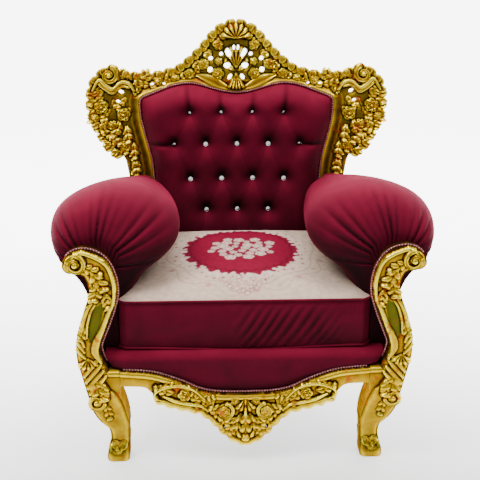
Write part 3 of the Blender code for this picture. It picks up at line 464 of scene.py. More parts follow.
# Petals overlap like shingles along the outline, with a second row of them inside
PETAL = 0.034
outline = outer_line[(outer_line[:, 1] > 0.72) | (outer_line[:, 0] < 0.3)]
for offset, spacing, leans, lift in ((0.036, 0.024, (-25, -150), 0.010), (0.013, 0.019, (-48, -70), 0.012)):
    for k, along in enumerate(np.arange(0.008, lengths(outline)[-1] - 0.012, spacing)):
        x, z, heading = beside(outline, along, offset)
        if math.hypot(x, z - 1.030) > 0.075:
            size = PETAL * (1, 0.86)[k % 2]
            crest.carve(scale, x, z, heading + leans[k % 2], size, lift + 0.003 * (k % 2))

# Flowers, scrolls, leaves and the central palmette lie over them
for motif, x, z, turn, size, lift, form in (
    (acanthus, 0.392, 0.968, 25, 0.060, 0.008, {"curl": 0.3}),
    (acanthus, 0.352, 0.975, 10, 0.055, 0.008, {"curl": 0.3}),
    (acanthus, 0.345, 0.985, 165, 0.060, 0.010, {"curl": -0.2}),
    (acanthus, 0.280, 0.972, 172, 0.055, 0.010, {"curl": -0.3}),
    (acanthus, 0.290, 0.966, 0, 0.055, 0.009, {"curl": 0.2}),
    (acanthus, 0.445, 0.935, -40, 0.055, 0.010, {"curl": 0.2}),
    (acanthus, 0.470, 0.900, -80, 0.055, 0.011, {"curl": 0.25}),
    (acanthus, 0.436, 0.868, -62, 0.060, 0.012, {"curl": -0.3}),
    (acanthus, 0.455, 0.845, -112, 0.058, 0.011, {"curl": -0.2}),
    (acanthus, 0.395, 0.850, -80, 0.062, 0.012, {"curl": 0.3}),
    (acanthus, 0.428, 0.812, -122, 0.060, 0.012, {"curl": -0.2}),
    (acanthus, 0.372, 0.832, -102, 0.064, 0.012, {"curl": 0.15}),
    (acanthus, 0.392, 0.788, -118, 0.056, 0.011, {"curl": 0.2}),
    (acanthus, 0.352, 0.775, -100, 0.062, 0.011, {"curl": 0.1}),
    (acanthus, 0.345, 0.715, -97, 0.064, 0.011, {"curl": 0.1}),
    (acanthus, 0.336, 0.655, -94, 0.064, 0.010, {"curl": 0.0}),
    (acanthus, 0.372, 0.930, -70, 0.046, 0.008, {"curl": 0.3}),
    (acanthus, 0.412, 0.925, -100, 0.046, 0.008, {"curl": -0.3}),
    (acanthus, 0.362, 0.895, -80, 0.044, 0.009, {"curl": 0.2}),
    (acanthus, 0.425, 0.895, -60, 0.040, 0.009, {"curl": 0.2}),
    (rose, 0.452, 0.902, 10, 0.024, 0.014, {}),
    (rose, 0.380, 0.872, 30, 0.023, 0.014, {}),
    (rose, 0.418, 0.838, 50, 0.017, 0.014, {}),
    (rose, 0.474, 0.866, 0, 0.015, 0.013, {}),
    (rose, 0.374, 0.766, 0, 0.019, 0.014, {}),
    (rose, 0.345, 0.705, 20, 0.014, 0.013, {}),
    (volute, 0.424, 1.003, 205, 0.034, 0.012, {"turns": 1.2, "wide": 0.24}),
    (volute, 0.472, 0.950, 150, 0.019, 0.012, {"turns": 1.2}),
    (volute, 0.333, 0.951, 20, 0.020, 0.011, {"turns": 1.1}),
    (rose, 0.262, 0.978, 30, 0.016, 0.013, {}),
    (rose, 0.205, 0.984, 0, 0.016, 0.014, {}),
    (acanthus, 0.150, 0.985, 140, 0.046, 0.010, {"curl": -0.3}),
    (rose, 0.158, 0.998, 20, 0.019, 0.014, {}),
    (rose, 0.110, 1.030, 0, 0.019, 0.014, {}),
    (rose, 0.060, 1.092, 10, 0.018, 0.014, {}),
    (rose, 0.062, 0.998, 40, 0.021, 0.015, {}),
    (rose, 0.060, 1.038, 0, 0.014, 0.013, {}),
    (shell, 0.0, 1.112, 90, 0.052, 0.014, {"ribs": 7, "spread": 170.0}),
    (shell, 0.0, 1.012, 90, 0.078, 0.011, {"ribs": 5, "spread": 70.0, "rise_at": 0.8}),
    (shell, 0.0, 1.004, -90, 0.070, 0.014, {"ribs": 5, "spread": 62.0, "rise_at": 0.8}),
    (acanthus, 0.008, 1.008, 35, 0.048, 0.014, {"curl": 0.3, "width": 0.22}),
):
    crest.carve(motif, x, z, turn, size, lift, **form)
clear = 0.015 + 0.012 * np.exp(-(((crest.x - 0.10) / 0.05) ** 2))
clear += 0.012 * np.clip((0.90 - crest.z) / 0.04, 0, 1)
crest.rise = np.where(from_pad < clear, moulding, crest.rise)
moustache = ((0.478, 0.958, 0.004), (0.456, 0.990, 0.006), (0.436, 0.972, 0.007), (0.412, 0.958, 0.007),
             (0.386, 0.978, 0.007), (0.360, 0.974, 0.006), (0.343, 0.950, 0.004))
crest.band(moustache, 0.016, 0.009)
crest.band([(x, z - 0.012 - 0.02 * abs(x - 0.405), w * 0.8) for x, z, w in moustache[1:-1]], 0.013, 0.008)
# A smooth shell-work wave lies on each side of the bell, above the dip in the pad's edge
shell_wave = ((0.026, 0.948, 0.006), (0.056, 0.960, 0.015), (0.094, 0.979, 0.016), (0.132, 0.994, 0.005))
crest.band(shell_wave, 0.011, 0.010, 0.5)
# The wood is pierced: place, half width, half height and turn of each hole
for x, z, half_wide, half_tall, turn in (
    (0.007, 1.081, 0.0045, 0.010, 0), (0.026, 1.064, 0.010, 0.017, -22), (0.050, 1.060, 0.007, 0.008, 0),
    (0.030, 1.022, 0.012, 0.012, 40), (0.086, 1.046, 0.008, 0.009, 0), (0.088, 1.008, 0.009, 0.011, 20),
    (0.0215, 0.984, 0.007, 0.012, 25), (0.284, 0.966, 0.007, 0.006, -20), (0.244, 0.966, 0.006, 0.006, 0),
    (0.387, 0.945, 0.010, 0.008, 25), (0.398, 0.914, 0.008, 0.007, 0),
):
    c, s = math.cos(math.radians(turn)), math.sin(math.radians(turn))
    u, v = (crest.x - x) * c + (crest.z - z) * s, (crest.z - z) * c - (crest.x - x) * s
    hole = (np.hypot(u / half_wide, v / half_tall) - 1) * min(half_wide, half_tall)
    crest.edge = np.minimum(crest.edge, hole)
    crest.rise -= 0.005 * np.exp(-np.clip(hole, 0, None) / 0.003)
crest.edge = np.where(opening, -from_pad, crest.edge)
back_frame = mirrored(crest).piece(
    "back_frame_carving", back_sheet, lambda x, z: back_sheet(x, z) + FRAME_HALF
)
back_frame.data.materials.append(gilding)
settle(back_frame, "back_frame")

# Front posts
# Each arm scroll, S-shaped arm post and cabriole leg is one length of beech, sawn to its curve
# and carved on the front. The joint block behind it takes the rails. Gilded as the frame is.
POST_FACE, POST_REAR = -0.426, -0.380
# Down the post from the scroll, in metres: the middle's x and z, the width, and how far it swells forward
POST_SPINE = (
    (0.483, 0.612, 0.046, 0.000), (0.465, 0.622, 0.066, 0.000), (0.441, 0.620, 0.076, 0.000),
    (0.417, 0.606, 0.078, 0.000), (0.401, 0.572, 0.078, 0.000), (0.397, 0.532, 0.077, 0.000),
    (0.405, 0.496, 0.076, 0.000), (0.421, 0.450, 0.076, 0.002), (0.436, 0.408, 0.073, 0.004),
    (0.445, 0.370, 0.068, 0.006), (0.442, 0.332, 0.072, 0.008), (0.433, 0.302, 0.077, 0.010),
    (0.421, 0.258, 0.080, 0.012), (0.410, 0.220, 0.084, 0.014), (0.397, 0.180, 0.090, 0.014),
    (0.381, 0.140, 0.078, 0.008), (0.369, 0.108, 0.062, -0.004), (0.366, 0.070, 0.056, -0.006),
    (0.370, 0.034, 0.060, 0.004), (0.373, 0.014, 0.066, 0.012), (0.373, 0.000, 0.060, 0.010),
)
spine = smooth_path([(x, z, width / 2, swell) for x, z, width, swell in POST_SPINE], 120)
post = Board((0.320, 0.0), (0.518, 0.674), 0.0018, 0.0022)
_, post.edge = across_path(post.x, post.z, spine)
nearest = np.argmin(np.hypot(post.x[..., None] - spine[:, 0], post.z[..., None] - spine[:, 1]), axis=-1)
post.rise = 0.004 - 0.014 * np.clip(1 - post.edge / 0.012, 0, 1) ** 2
block = np.minimum(
    np.minimum(post.x - 0.3592, 0.432 - post.x), np.minimum(post.z - 0.2202, 0.2948 - post.z)
)
bead = 0.009 * np.sqrt(np.clip(1 - ((0.2955 - post.z - 0.010) / 0.009) ** 2, 0, 1))
post.rise = np.where(block > post.edge, bead - 0.004, post.rise)
sawn_edge = post.sawn = np.maximum(post.edge, block)
post.edge = sawn_edge.copy()


def on_post(along, offset):
    """Place that far down the post, moved to the seat's side by a share of its half width."""
    x, z, heading = on_line(spine, along)
    half = float(np.interp(along, lengths(spine[:, :2]), spine[:, 2]))
    right = math.radians(heading - 90)
    return x + offset * half * math.cos(right), z + offset * half * math.sin(right), heading


def post_path(points):
    """Points of (place down the post, offset, half width) as (x, z, half width)."""
    return [(*on_post(along, offset)[:2], half) for along, offset, half in points]


# Leaves, flowers and scrolls down the post: place, offset, turn from the post's own line, size
for motif, along, offset, turn, size, lift, form in (
    (acanthus, 0.040, -0.20, 10, 0.062, 0.003, {"curl": 0.1}),
    (acanthus, 0.080, -0.25, 6, 0.066, 0.004, {"curl": -0.1, "width": 0.36}),
    (acanthus, 0.118, -0.30, 12, 0.060, 0.004, {"curl": 0.2, "width": 0.36}),
    (acanthus, 0.150, 0.15, -25, 0.050, 0.005, {"curl": 0.3}),
    (volute, 0.168, 0.45, 120, 0.019, 0.005, {"turns": 1.0}),
    (volute, 0.172, -0.50, 60, 0.015, 0.004, {"turns": 1.0}),
    (volute, 0.016, -0.05, 25, 0.036, 0.004, {"turns": 1.25}),
    (acanthus, 0.262, -0.55, 8, 0.050, 0.003, {"curl": -0.2}),
    (shell, 0.352, -0.10, 5, 0.038, 0.004, {"ribs": 5, "spread": 120.0}),
    (acanthus, 0.420, -0.15, 0, 0.074, 0.005, {"curl": -0.1, "width": 0.36}),
    (acanthus, 0.440, 0.35, 10, 0.060, 0.003, {"curl": 0.2}),
    (volute, 0.488, -0.52, 30, 0.030, 0.006, {"turns": 1.3}),
    (acanthus, 0.505, 0.00, 4, 0.056, 0.001, {"curl": 0.1, "width": 0.26}),
    (volute, 0.664, -0.20, 160, 0.024, 0.004, {"turns": 1.1}),
    (scale, 0.640, 0.50, 20, 0.030, 0.003, {}),
    (scale, 0.640, -0.60, -20, 0.028, 0.003, {}),
):
    x, z, heading = on_post(along, offset)
    post.carve(motif, x, z, heading + turn, size, lift, **form)
# Three ridges and a reed mark its outer side, and four strands cross it above the knee
strand = ((0.362, 0.72, 0.004), (0.378, 0.1, 0.008), (0.402, -0.75, 0.005))
reed = ((0.185, -0.60, 0.004), (0.215, -0.80, 0.006), (0.250, -0.82, 0.006), (0.285, -0.70, 0.004))
for k in range(3):
    down = 0.017 * k
    ridge = ((0.292 + down, -0.86, 0.005), (0.302 + down, -0.6, 0.006), (0.318 + 0.016 * k, -0.3, 0.004))
    post.band(post_path(ridge), 0.003, 0.006)
for k in range(4):
    post.band(post_path([(a + 0.019 * k, offset, half) for a, offset, half in strand]), 0.003, 0.007)
post.band(post_path(reed), 0.002, 0.005)
# The green-glazed panel lies sunk between the outer reed and the rolled edge on the seat's side; its glaze
# tint also paints shade in the sunk panel
panel = ((0.188, 0.0, 0.006), (0.215, -0.05, 0.018), (0.258, 0.0, 0.018), (0.298, 0.15, 0.007))
_, inside_panel = across_path(post.x, post.z, smooth_path(post_path(panel), 40))
sunk = np.clip(inside_panel / 0.005, 0, 1)
post.rise += sunk * (0.001 - post.rise)
post.glaze_and_painted_shade = np.maximum(post.glaze_and_painted_shade, 0.20 * sunk)
rolled_edge = (
    (0.002, 0.62, 0.004), (0.030, 0.84, 0.005), (0.075, 0.85, 0.006), (0.120, 0.85, 0.006),
    (0.165, 0.84, 0.005), (0.205, 0.72, 0.007), (0.250, 0.70, 0.008), (0.295, 0.60, 0.011),
    (0.335, 0.58, 0.011), (0.375, 0.80, 0.005),
)
post.band(post_path(rolled_edge), 0.003, 0.007)
panel_lip = ((0.190, -0.40, 0.004), (0.215, -0.52, 0.004), (0.255, -0.45, 0.004), (0.292, -0.20, 0.003))
post.band(post_path(panel_lip), 0.003, 0.005)
post.edge = np.minimum(post.edge, sawn_edge + 0.006)
# Painted shade over the whole post, growing darker towards the bottom of the leg
post.glaze_and_painted_shade += 0.05 + 0.07 * np.clip((0.20 - post.z) / 0.06, 0, 1)
post.edge = np.minimum(post.edge, post.z + 0.0005)
post_swell = blurred(spine[nearest, 3], 6)
back_swell = 0.028 * np.clip((0.265 - post.z) / 0.03, 0, 1) * np.clip((post.z - 0.06) / 0.08, 0, 1)
back_swell = np.where(block > 0, 0.035, back_swell)


def from_grid(board, field):
    """Looks a field of the board up at other points, which are close to its own."""
    def value(x, z):
        i = np.clip(np.rint((z - board.z[0, 0]) / board.cell).astype(int), 0, field.shape[0] - 1)
        j = np.clip(np.rint((x - board.x[0, 0]) / board.cell).astype(int), 0, field.shape[1] - 1)
        return field[i, j]
    return value


for side in (-1, 1):
    name = "left" if side < 0 else "right"
    thing = post.piece(
        f"front_post_carving_{name}",
        from_grid(post, POST_FACE - post_swell),
        from_grid(post, POST_REAR + back_swell),
        0.7,
    )
    if side < 0:
        flat = np.empty(len(thing.data.vertices) * 3)
        thing.data.vertices.foreach_get("co", flat)
        flat[::3] *= -1
        thing.data.vertices.foreach_set("co", flat)
        thing.data.flip_normals()
    thing.data.materials.append(gilding)
    settle(thing, f"front_post_{name}")

# Front rail
# A serpentine beech rail is tenoned between the posts, with a carved shell and roses on its
# drop. The velvet's braid lies along its upper edge. Gilded as the frame is.
RAIL_HALF, RAIL_FRONT, RAIL_REAR = 0.3587, -0.434, -0.386
RAIL_TOP = ((0, 0.217), (0.072, 0.219), (0.129, 0.230), (0.187, 0.258), (0.266, 0.286), (0.359, 0.295))
RAIL_LOW = (
    (0, 0.056), (0.022, 0.062), (0.050, 0.089), (0.083, 0.126), (0.122, 0.155), (0.158, 0.166),
    (0.215, 0.181), (0.255, 0.196), (0.276, 0.225), (0.298, 0.238), (0.359, 0.240),
)
rail = Board((0, 0.036), (RAIL_HALF, 0.302), 0.0018, 0.0025)
top_line = smooth_path(RAIL_TOP, 60)
low_line = smooth_path(RAIL_LOW, 80)
top = np.interp(rail.x, top_line[:, 0], top_line[:, 1])
low = np.interp(rail.x, low_line[:, 0], low_line[:, 1])
from_top = distance(rail.x, rail.z, top_line)
from_low = distance(rail.x, rail.z, low_line)
inside = (rail.z < top) & (rail.z > low)
rail.edge = np.where(inside, np.minimum(from_top, from_low - 0.004), -np.minimum(from_top, from_low + 0.004))
rail.sawn = rail.edge.copy()
rail.rise = 0.001 - 0.006 * np.exp(-from_low / 0.005)
rail.rise += 0.009 * np.sqrt(np.clip(1 - ((from_top - 0.010) / 0.009) ** 2, 0, 1))
# A little olive glaze tint and painted shade on the rail's ground below its top bead
rail.glaze_and_painted_shade = 0.03 * (from_top > 0.022)

# A bright scalloped lip rolls along the lower edge, and leaves stand on it
for along in np.arange(0.062, 0.200, 0.027):
    x, z, heading = beside(low_line, along, 0.022)
    rail.carve(acanthus, x, z, heading - 172, 0.058, 0.002, free=False, width=0.34, curl=-0.25)
lip = []
for along in np.arange(0.0, lengths(low_line)[-1] - 0.10, 0.009):
    swell = 0.0022 * math.sin(2 * math.pi * along / 0.036)
    inset = 0.006 - 0.009 * math.sin(math.pi * min(max((along - 0.01) / 0.16, 0), 1)) - swell
    lip.append((*beside(low_line, along, inset)[:2], 0.0075 + 0.4 * swell))
rail.band(lip, 0.003, 0.008)
for motif, x, z, turn, size, lift, form in (
    (acanthus, 0.262, 0.236, 175, 0.060, 0.001, {"curl": -0.25, "width": 0.26}),
    (acanthus, 0.205, 0.226, 8, 0.062, 0.002, {"curl": 0.15, "width": 0.28}),
    (acanthus, 0.125, 0.188, 35, 0.052, 0.002, {"curl": 0.3}),
    (acanthus, 0.130, 0.180, 150, 0.056, 0.002, {"curl": -0.2}),
    (acanthus, 0.150, 0.205, 170, 0.052, 0.002, {"curl": 0.2}),
    (acanthus, 0.096, 0.150, -50, 0.044, 0.002, {"curl": 0.3}),
    (acanthus, 0.070, 0.128, -62, 0.048, 0.003, {"curl": 0.2}),
    (acanthus, 0.042, 0.120, -75, 0.052, 0.003, {"curl": 0.2}),
    (rose, 0.176, 0.218, 0, 0.019, 0.005, {}),
    (rose, 0.102, 0.196, 20, 0.014, 0.004, {}),
    (volute, 0.058, 0.165, 190, 0.031, 0.004, {"turns": 1.35}),
    (rose, 0.058, 0.165, 0, 0.015, 0.008, {}),
    (rose, 0.030, 0.196, 40, 0.013, 0.005, {}),
    (rose, 0.030, 0.132, 40, 0.014, 0.004, {}),
    (shell, 0.0, 0.206, -90, 0.044, 0.004, {"ribs": 5, "spread": 100.0}),
    (acanthus, 0.014, 0.152, -70, 0.072, 0.003, {"curl": -0.35, "width": 0.20}),
    (acanthus, 0.0, 0.158, -90, 0.092, 0.005, {"width": 0.20}),
):
    rail.carve(motif, x, z, turn, size, lift, free=False, **form)
for scroll in (
    (
        (0.118, 0.206, 0.003), (0.150, 0.236, 0.004), (0.195, 0.249, 0.005),
        (0.240, 0.240, 0.005), (0.262, 0.222, 0.004), (0.252, 0.206, 0.003),
    ),
    (
        (0.108, 0.168, 0.003), (0.130, 0.184, 0.004), (0.165, 0.190, 0.005),
        (0.205, 0.200, 0.005), (0.236, 0.216, 0.003),
    ),
    ((0.0, 0.198, 0.003), (0.0, 0.150, 0.005), (0.0, 0.100, 0.005), (0.0, 0.074, 0.003)),
):
    rail.band(scroll, 0.004, 0.008)
rail.edge = np.where(rail.z < top, rail.edge, -from_top)
front_rail = mirrored(rail).piece(
    "front_rail_carving",
    lambda x, z: RAIL_FRONT - 0.006 * np.cos(math.pi * x / (2 * RAIL_HALF)),
    lambda x, z: np.full(x.shape, RAIL_REAR),
    0.75,
)
front_rail.data.materials.append(gilding)
settle(front_rail, "front_rail")

# Side rails, back rail and rear legs
# Plain beech, planed and gilded with less care than the show wood, since the chair stands
# against a wall. The frame solids have the right shapes, so they take a plainer gilding.
plain_gilding = water_gilding("thin gold leaf on plain beech", False)
for name in ("side_rail_left", "side_rail_right", "back_rail", "rear_leg_left", "rear_leg_right"):
    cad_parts[name].data.materials.clear()
    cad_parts[name].data.materials.append(plain_gilding)

# Seat deck
# Webbing, springs and stuffing over the rails, close-covered in burgundy velvet. Its front border
# rolls over a firm edge and is tacked along the show rail, under the braid.
HALF_DECK, DECK_TOP, RAIL_FACE, ARM_FRONT, ARM_BACK = 0.379, 0.345, -0.436, -0.3797, 0.2497
SEAT_HALF_FRONT, SEAT_HALF_BACK, ARM_PANEL = 0.361, 0.275, 0.066

# Cotton velvet: an upright pile that drinks light face on and gives a rose bloom at a glance,
# with broad marks where the nap has been brushed over
velvet, tree, shader, coords = new_material(
    "burgundy cotton velvet", Roughness=0.85, Specular_IOR_Level=0.12,
    Sheen_Weight=0.25, Sheen_Roughness=0.30, Sheen_Tint=(*linear("#ff3a74"), 1),
)
# Painted light: the colour is lighter where the surface faces up and darker where it faces down, for light
# that falls from above
normal = add(tree, "ShaderNodeNewGeometry").outputs["Normal"]
facing = add(tree, "ShaderNodeSeparateXYZ", [("Vector", normal)]).outputs["Z"]
painted_top_light = add(tree, "ShaderNodeMapRange", [("Value", facing)], i1=-0.5, i2=1.0, i3=0.26, i4=0.74)
brushed = add(tree, "ShaderNodeTexNoise", [("Vector", coords)], Scale=1 / 0.030, Detail=3.0, Distortion=0.8)
marks = add(tree, "ShaderNodeTexNoise", [("Vector", coords)], Scale=1 / 0.09, Detail=4.0, Distortion=0.5)
brushed_marks_and_painted_light = add(tree, "ShaderNodeMath", [(0, marks), (2, painted_top_light)], operation="MULTIPLY_ADD", i1=0.30)
# Painted shade in folds and shaded parts, and a painted highlight below each button, from the fold attribute
painted_shade_and_light = add(tree, "ShaderNodeAttribute", attribute_name="fold").outputs["Fac"]
tone = add(tree, "ShaderNodeMath", [(0, brushed_marks_and_painted_light), (1, painted_shade_and_light)], operation="SUBTRACT")
velvet_colour_with_painted_light = add(
    tree, "ShaderNodeValToRGB", [("Fac", tone)],
    [(0.15, "#100003"), (0.42, "#34000e"), (0.60, "#54021c"), (0.80, "#6c0826"), (1.0, "#861434")],
)
fibre = add(tree, "ShaderNodeTexNoise", [("Vector", coords)], Scale=1 / 0.0014)
both = add(tree, "ShaderNodeMath", [(0, brushed), (2, fibre)], operation="MULTIPLY_ADD", i1=1.2)
lay = add(tree, "ShaderNodeBump", [("Height", both)], Strength=0.22, Distance=0.0010)
join(tree, shader, [("Base Color", velvet_colour_with_painted_light), ("Normal", lay)])


def loft(name, rings, material, cap=True):
    """Closed skin through rings of points, with its ends filled."""
    rings = np.asarray(rings, float)
    rows, n = rings.shape[:2]
    a = (np.arange(rows - 1)[:, None] * n + np.arange(n)[None, :]).ravel()
    b = (np.arange(rows - 1)[:, None] * n + (np.arange(n)[None, :] + 1) % n).ravel()
    faces = np.column_stack([a, b, b + n, a + n]).tolist()
    if cap:
        faces += [list(range(n))[::-1], [(rows - 1) * n + j for j in range(n)]]
    thing = new_mesh(name, rings.reshape(-1, 3), faces)
    thing.data.materials.append(material)
    return thing


def outwards(thing):
    """Turns all faces of a closed piece outwards."""
    work = bmesh.new()
    work.from_mesh(thing.data)
    bmesh.ops.recalc_face_normals(work, faces=work.faces)
    work.to_mesh(thing.data)
    work.free()
    thing.data.set_sharp_from_angle(angle=math.radians(60))
    return thing


def shade_folds(thing, values):
    """Paints shade point by point into the fold attribute: darker in creases, folds and shaded parts, lighter
    where a highlight is painted.
    """
    thing.data.attributes.new("fold", "FLOAT", "POINT").data.foreach_set("value", np.ravel(values))


def rail_top(x):
    """Height of the show rail's upper edge."""
    return np.interp(np.abs(x), top_line[:, 0], top_line[:, 1])


rings = []
for x in np.linspace(-HALF_DECK, HALF_DECK, 221):
    reach = abs(x)
    low = float(rail_top(min(reach, RAIL_HALF))) + 0.001
    ease = float(np.clip((reach - 0.345) / (HALF_DECK - 0.345), 0, 1))
    face = RAIL_FACE + 0.013 + 0.012 * ease**2
    clear = SEAT_HALF_FRONT - 0.003
    share = float(np.clip((clear - reach) / (SEAT_HALF_FRONT - SEAT_HALF_BACK), 0, 1))
    far = ARM_FRONT + share * (ARM_BACK - ARM_FRONT) - 0.001 if reach < clear else face + 0.040
    lean = math.copysign(0.020 * float(np.clip((reach - clear) / (HALF_DECK - clear), 0, 1)), x)
    ripple = 0.0006 * math.sin(41 * x) + 0.0003 * math.sin(97 * x + 1.0)
    profile = [(face + 0.003, low)]
    for t in np.linspace(0, 1, 15)[1:-1]:
        bulge = 0.011 * math.sin(math.pi / 2 * min(t / 0.4, 1)) ** 0.7
        profile.append((face - bulge + ripple * math.sin(math.pi * t), low + t * (DECK_TOP - 0.024 - low)))
    for t in np.linspace(0, 1, 9):
        a = math.pi / 2 * t
        profile.append((face - 0.011 + 0.038 * (1 - math.cos(a)), DECK_TOP - 0.024 + 0.0235 * math.sin(a)))
    profile += [(face + 0.030, DECK_TOP - 0.0005), (max(far, face + 0.040), DECK_TOP - 0.0015)]
    profile += [(max(far, face + 0.040), 0.298), (face + 0.034, 0.298), (face + 0.030, low)]
    rings.append([(x + lean * min(max((z - 0.300) / 0.035, 0), 1), y, z) for y, z in profile])
deck = outwards(loft("seat_deck_cover", rings, velvet))
settle(deck, "seat_deck")

# Arms
# Each arm is a beech panel built up with springs, hair and a thick roll of stuffing. The velvet
# is drawn over the front in pleats that run out from the post's arch, where it is nailed.
ROLL_X, ROLL_Z, ROLL_WIDE, ROLL_TALL = 0.370, 0.665, 0.186, 0.130
ROLL_X_BACK, ROLL_Z_BACK, ROLL_WIDE_BACK, ROLL_TALL_BACK = 0.328, 0.588, 0.098, 0.086
NOSE_X, NOSE_Z, NOSE_WIDE, NOSE_TALL = 0.430, 0.617, 0.078, 0.058
FRONT_ROUND, ARM_LENGTH = 0.14, ARM_BACK - ARM_FRONT
ARCH_X, ARCH_Z, PLEATS, PLEAT_REACH = 0.430, 0.585, 37, 0.12


def arm_section(share, full, count=150):
    """One cross-section of the right arm: the panel's two sides and the roll over them."""
    y = ARM_FRONT + share * ARM_LENGTH
    taper = max(0.0, (share - 0.25) / 0.75) ** 1.2
    inner = SEAT_HALF_FRONT + share * (SEAT_HALF_BACK - SEAT_HALF_FRONT)
    nose = np.array((NOSE_X, NOSE_Z, NOSE_WIDE, NOSE_TALL))
    near = np.array((ROLL_X, ROLL_Z, ROLL_WIDE, ROLL_TALL))
    back = np.array((ROLL_X_BACK, ROLL_Z_BACK, ROLL_WIDE_BACK, ROLL_TALL_BACK))
    x0, z0, wide, tall = nose + (near + (back - near) * taper - nose) * full
    points = [(inner + ARM_PANEL - 0.002, z) for z in np.linspace(0.2958, z0 - 0.97 * tall, 14)]
    for angle in np.radians(np.linspace(-62, 242, count)):
        swell = 1 + 0.015 * math.cos(2 * angle)
        points.append((x0 + wide * swell * math.cos(angle), z0 + tall * math.sin(angle)))
    points += [(inner + 0.001, z) for z in np.linspace(z0 - 0.99 * tall, 0.2958, 14)]
    ring = np.array(points)
    soft = ring.copy()
    for _ in range(45):
        soft[1:-1] = (soft[:-2] + soft[1:-1] + soft[2:]) / 3
    soft[[0, -1]] = ring[[0, -1]]
    return np.column_stack([soft[:, 0], np.full(len(soft), y), soft[:, 1]])


def arm_stop(x, z):
    """Where the arm ends: against the stile, short of the wing's carving, or on the pad."""
    carved = np.clip((z - 0.60) / 0.04, 0, 1)
    stop = back_sheet(x, z) - 0.0245 - 0.020 * carved
    half = pad_half(z)
    rise = 0.0108 + 0.072 * pad_ease(np.minimum(x, half) - 0.02, z)
    return np.where(x < half + 0.012, np.minimum(stop, back_sheet(x, z) - rise - 0.005), stop)


inner_side = inner_line[: int(np.argmax(inner_line[:, 0])) + 1]
inner_top = inner_line[int(np.argmax(inner_line[:, 0])) :][::-1]


def pad_half(z):
    """Half width of the pad's opening at a height."""
    return np.interp(np.minimum(z, 0.905), inner_side[:, 1], inner_side[:, 0])


def pad_crown(x):
    """Height of the opening's upper edge."""
    return np.interp(np.abs(x), inner_top[:, 0], inner_top[:, 1])


def pad_ease(x, z, reach=0.07):
    """0 at the pad's edge to 1 where its stuffing is full."""
    side = np.clip((pad_half(z) - np.abs(x)) / reach, 0, 1)
    top = np.clip((pad_crown(x) - z) / reach, 0, 1)
    return np.sqrt((1 - (1 - side) ** 2) * (1 - (1 - top) ** 2))


sections = []
for q in np.linspace(0, 1, 30):
    angle = q * math.pi / 2
    sections.append(arm_section(FRONT_ROUND * (1 - math.cos(angle)) / ARM_LENGTH, math.sin(angle)))
for share in np.linspace(FRONT_ROUND / ARM_LENGTH, 1, 60)[1:]:
    sections.append(arm_section(share, 1.0))
body = np.array(sections)
last = body[-1]
last[:, 1] = arm_stop(last[:, 0], last[:, 2])


def drawn_in(ring, share, x, z):
    """The ring shrunk to that share of its size about a point."""
    small = ring.copy()
    small[:, 0] = x + share * (ring[:, 0] - x)
    small[:, 2] = z + share * (ring[:, 2] - z)
    return small


caps = [drawn_in(last, share, 0.308, 0.52) for share in (0.85, 0.6, 0.3)]
for cap in caps:
    cap[:, 1] = arm_stop(cap[:, 0], cap[:, 2])
nose = [drawn_in(body[0], share, 0.400, 0.50) for share in (0.25, 0.55, 0.8)]
body = np.concatenate([nose, body, caps])

# Pleats: creases that run out over the dome from the arch, deepest at the nails
x, y, z = body[..., 0], body[..., 1], body[..., 2]
around = np.degrees(np.arctan2(z - ARCH_Z, x - ARCH_X))
out = np.hypot(x - ARCH_X, z - ARCH_Z)
front = np.clip(1 - (y - ARM_FRONT) / PLEAT_REACH, 0, 1)
fold = 0.5 + 0.5 * np.cos(np.radians(around * PLEATS + 90 * np.sin(np.radians(around * 3.3))))
depth = 0.0105 * front**1.8 * np.clip((out - 0.045) / 0.03, 0, 1) * np.clip((around + 60) / 50, 0, 1)
depth *= 0.15 + 0.85 * np.sin(np.radians(around * 4.1 + 40)) ** 2
push = depth * (1 - (1 - fold) ** 0.5)
# Painted shade, darker in the pleats' creases and over the arm's lower part, below its lit top
pleat_shade = 36 * push * fold**4 + 0.32 * np.clip((0.675 - z) / 0.15, 0, 1)
body[..., 1] += push * 0.8
body[..., 0] -= push * 0.6 * np.sign(x - 0.42) * np.clip(np.abs(x - 0.42) / 0.08, 0, 1)
body[..., 2] -= push * 0.7 * np.clip((z - 0.6) / 0.08, 0, 1)
body[..., 0] += 0.003 * np.sin(7 * y + 9 * x) * np.sin(11 * z + 3) * np.clip((z - 0.5) / 0.1, 0, 1)
for side in (-1, 1):
    name = "left" if side < 0 else "right"
    arm = outwards(loft(f"arm_cover_{name}", body * (side, 1, 1), velvet))
    shade_folds(arm, pleat_shade)
    settle(arm, f"arm_{name}")

# Back pad
# Hair and cotton on webbing inside the frame, covered in velvet and drawn down at sixteen
# buttons. Folds run from the top row up to the edge and from the second row out to the sides.
BUTTON_STEP = 0.053
BUTTON_ROWS = (
    (0.874, (-3, -1, 1, 3)), (0.772, (-4, -2, 0, 2, 4)), (0.655, (-3, -1, 1, 3)), (0.548, (-2, 0, 2)),
)
buttons = [(k * BUTTON_STEP, z) for z, places in BUTTON_ROWS for k in places]
PAD_LOW = 0.349


def crease(x, z, start, end, depth, spread):
    """A fold between two points, softer towards its far end."""
    dx, dz = end[0] - start[0], end[1] - start[1]
    t = np.clip(((x - start[0]) * dx + (z - start[1]) * dz) / (dx * dx + dz * dz), 0, 1)
    gap = np.hypot(x - start[0] - t * dx, z - start[1] - t * dz)
    wide = spread * (1 + 0.9 * t)
    return depth * (1 - 0.45 * t) * np.exp(-((gap / wide) ** 1.5))


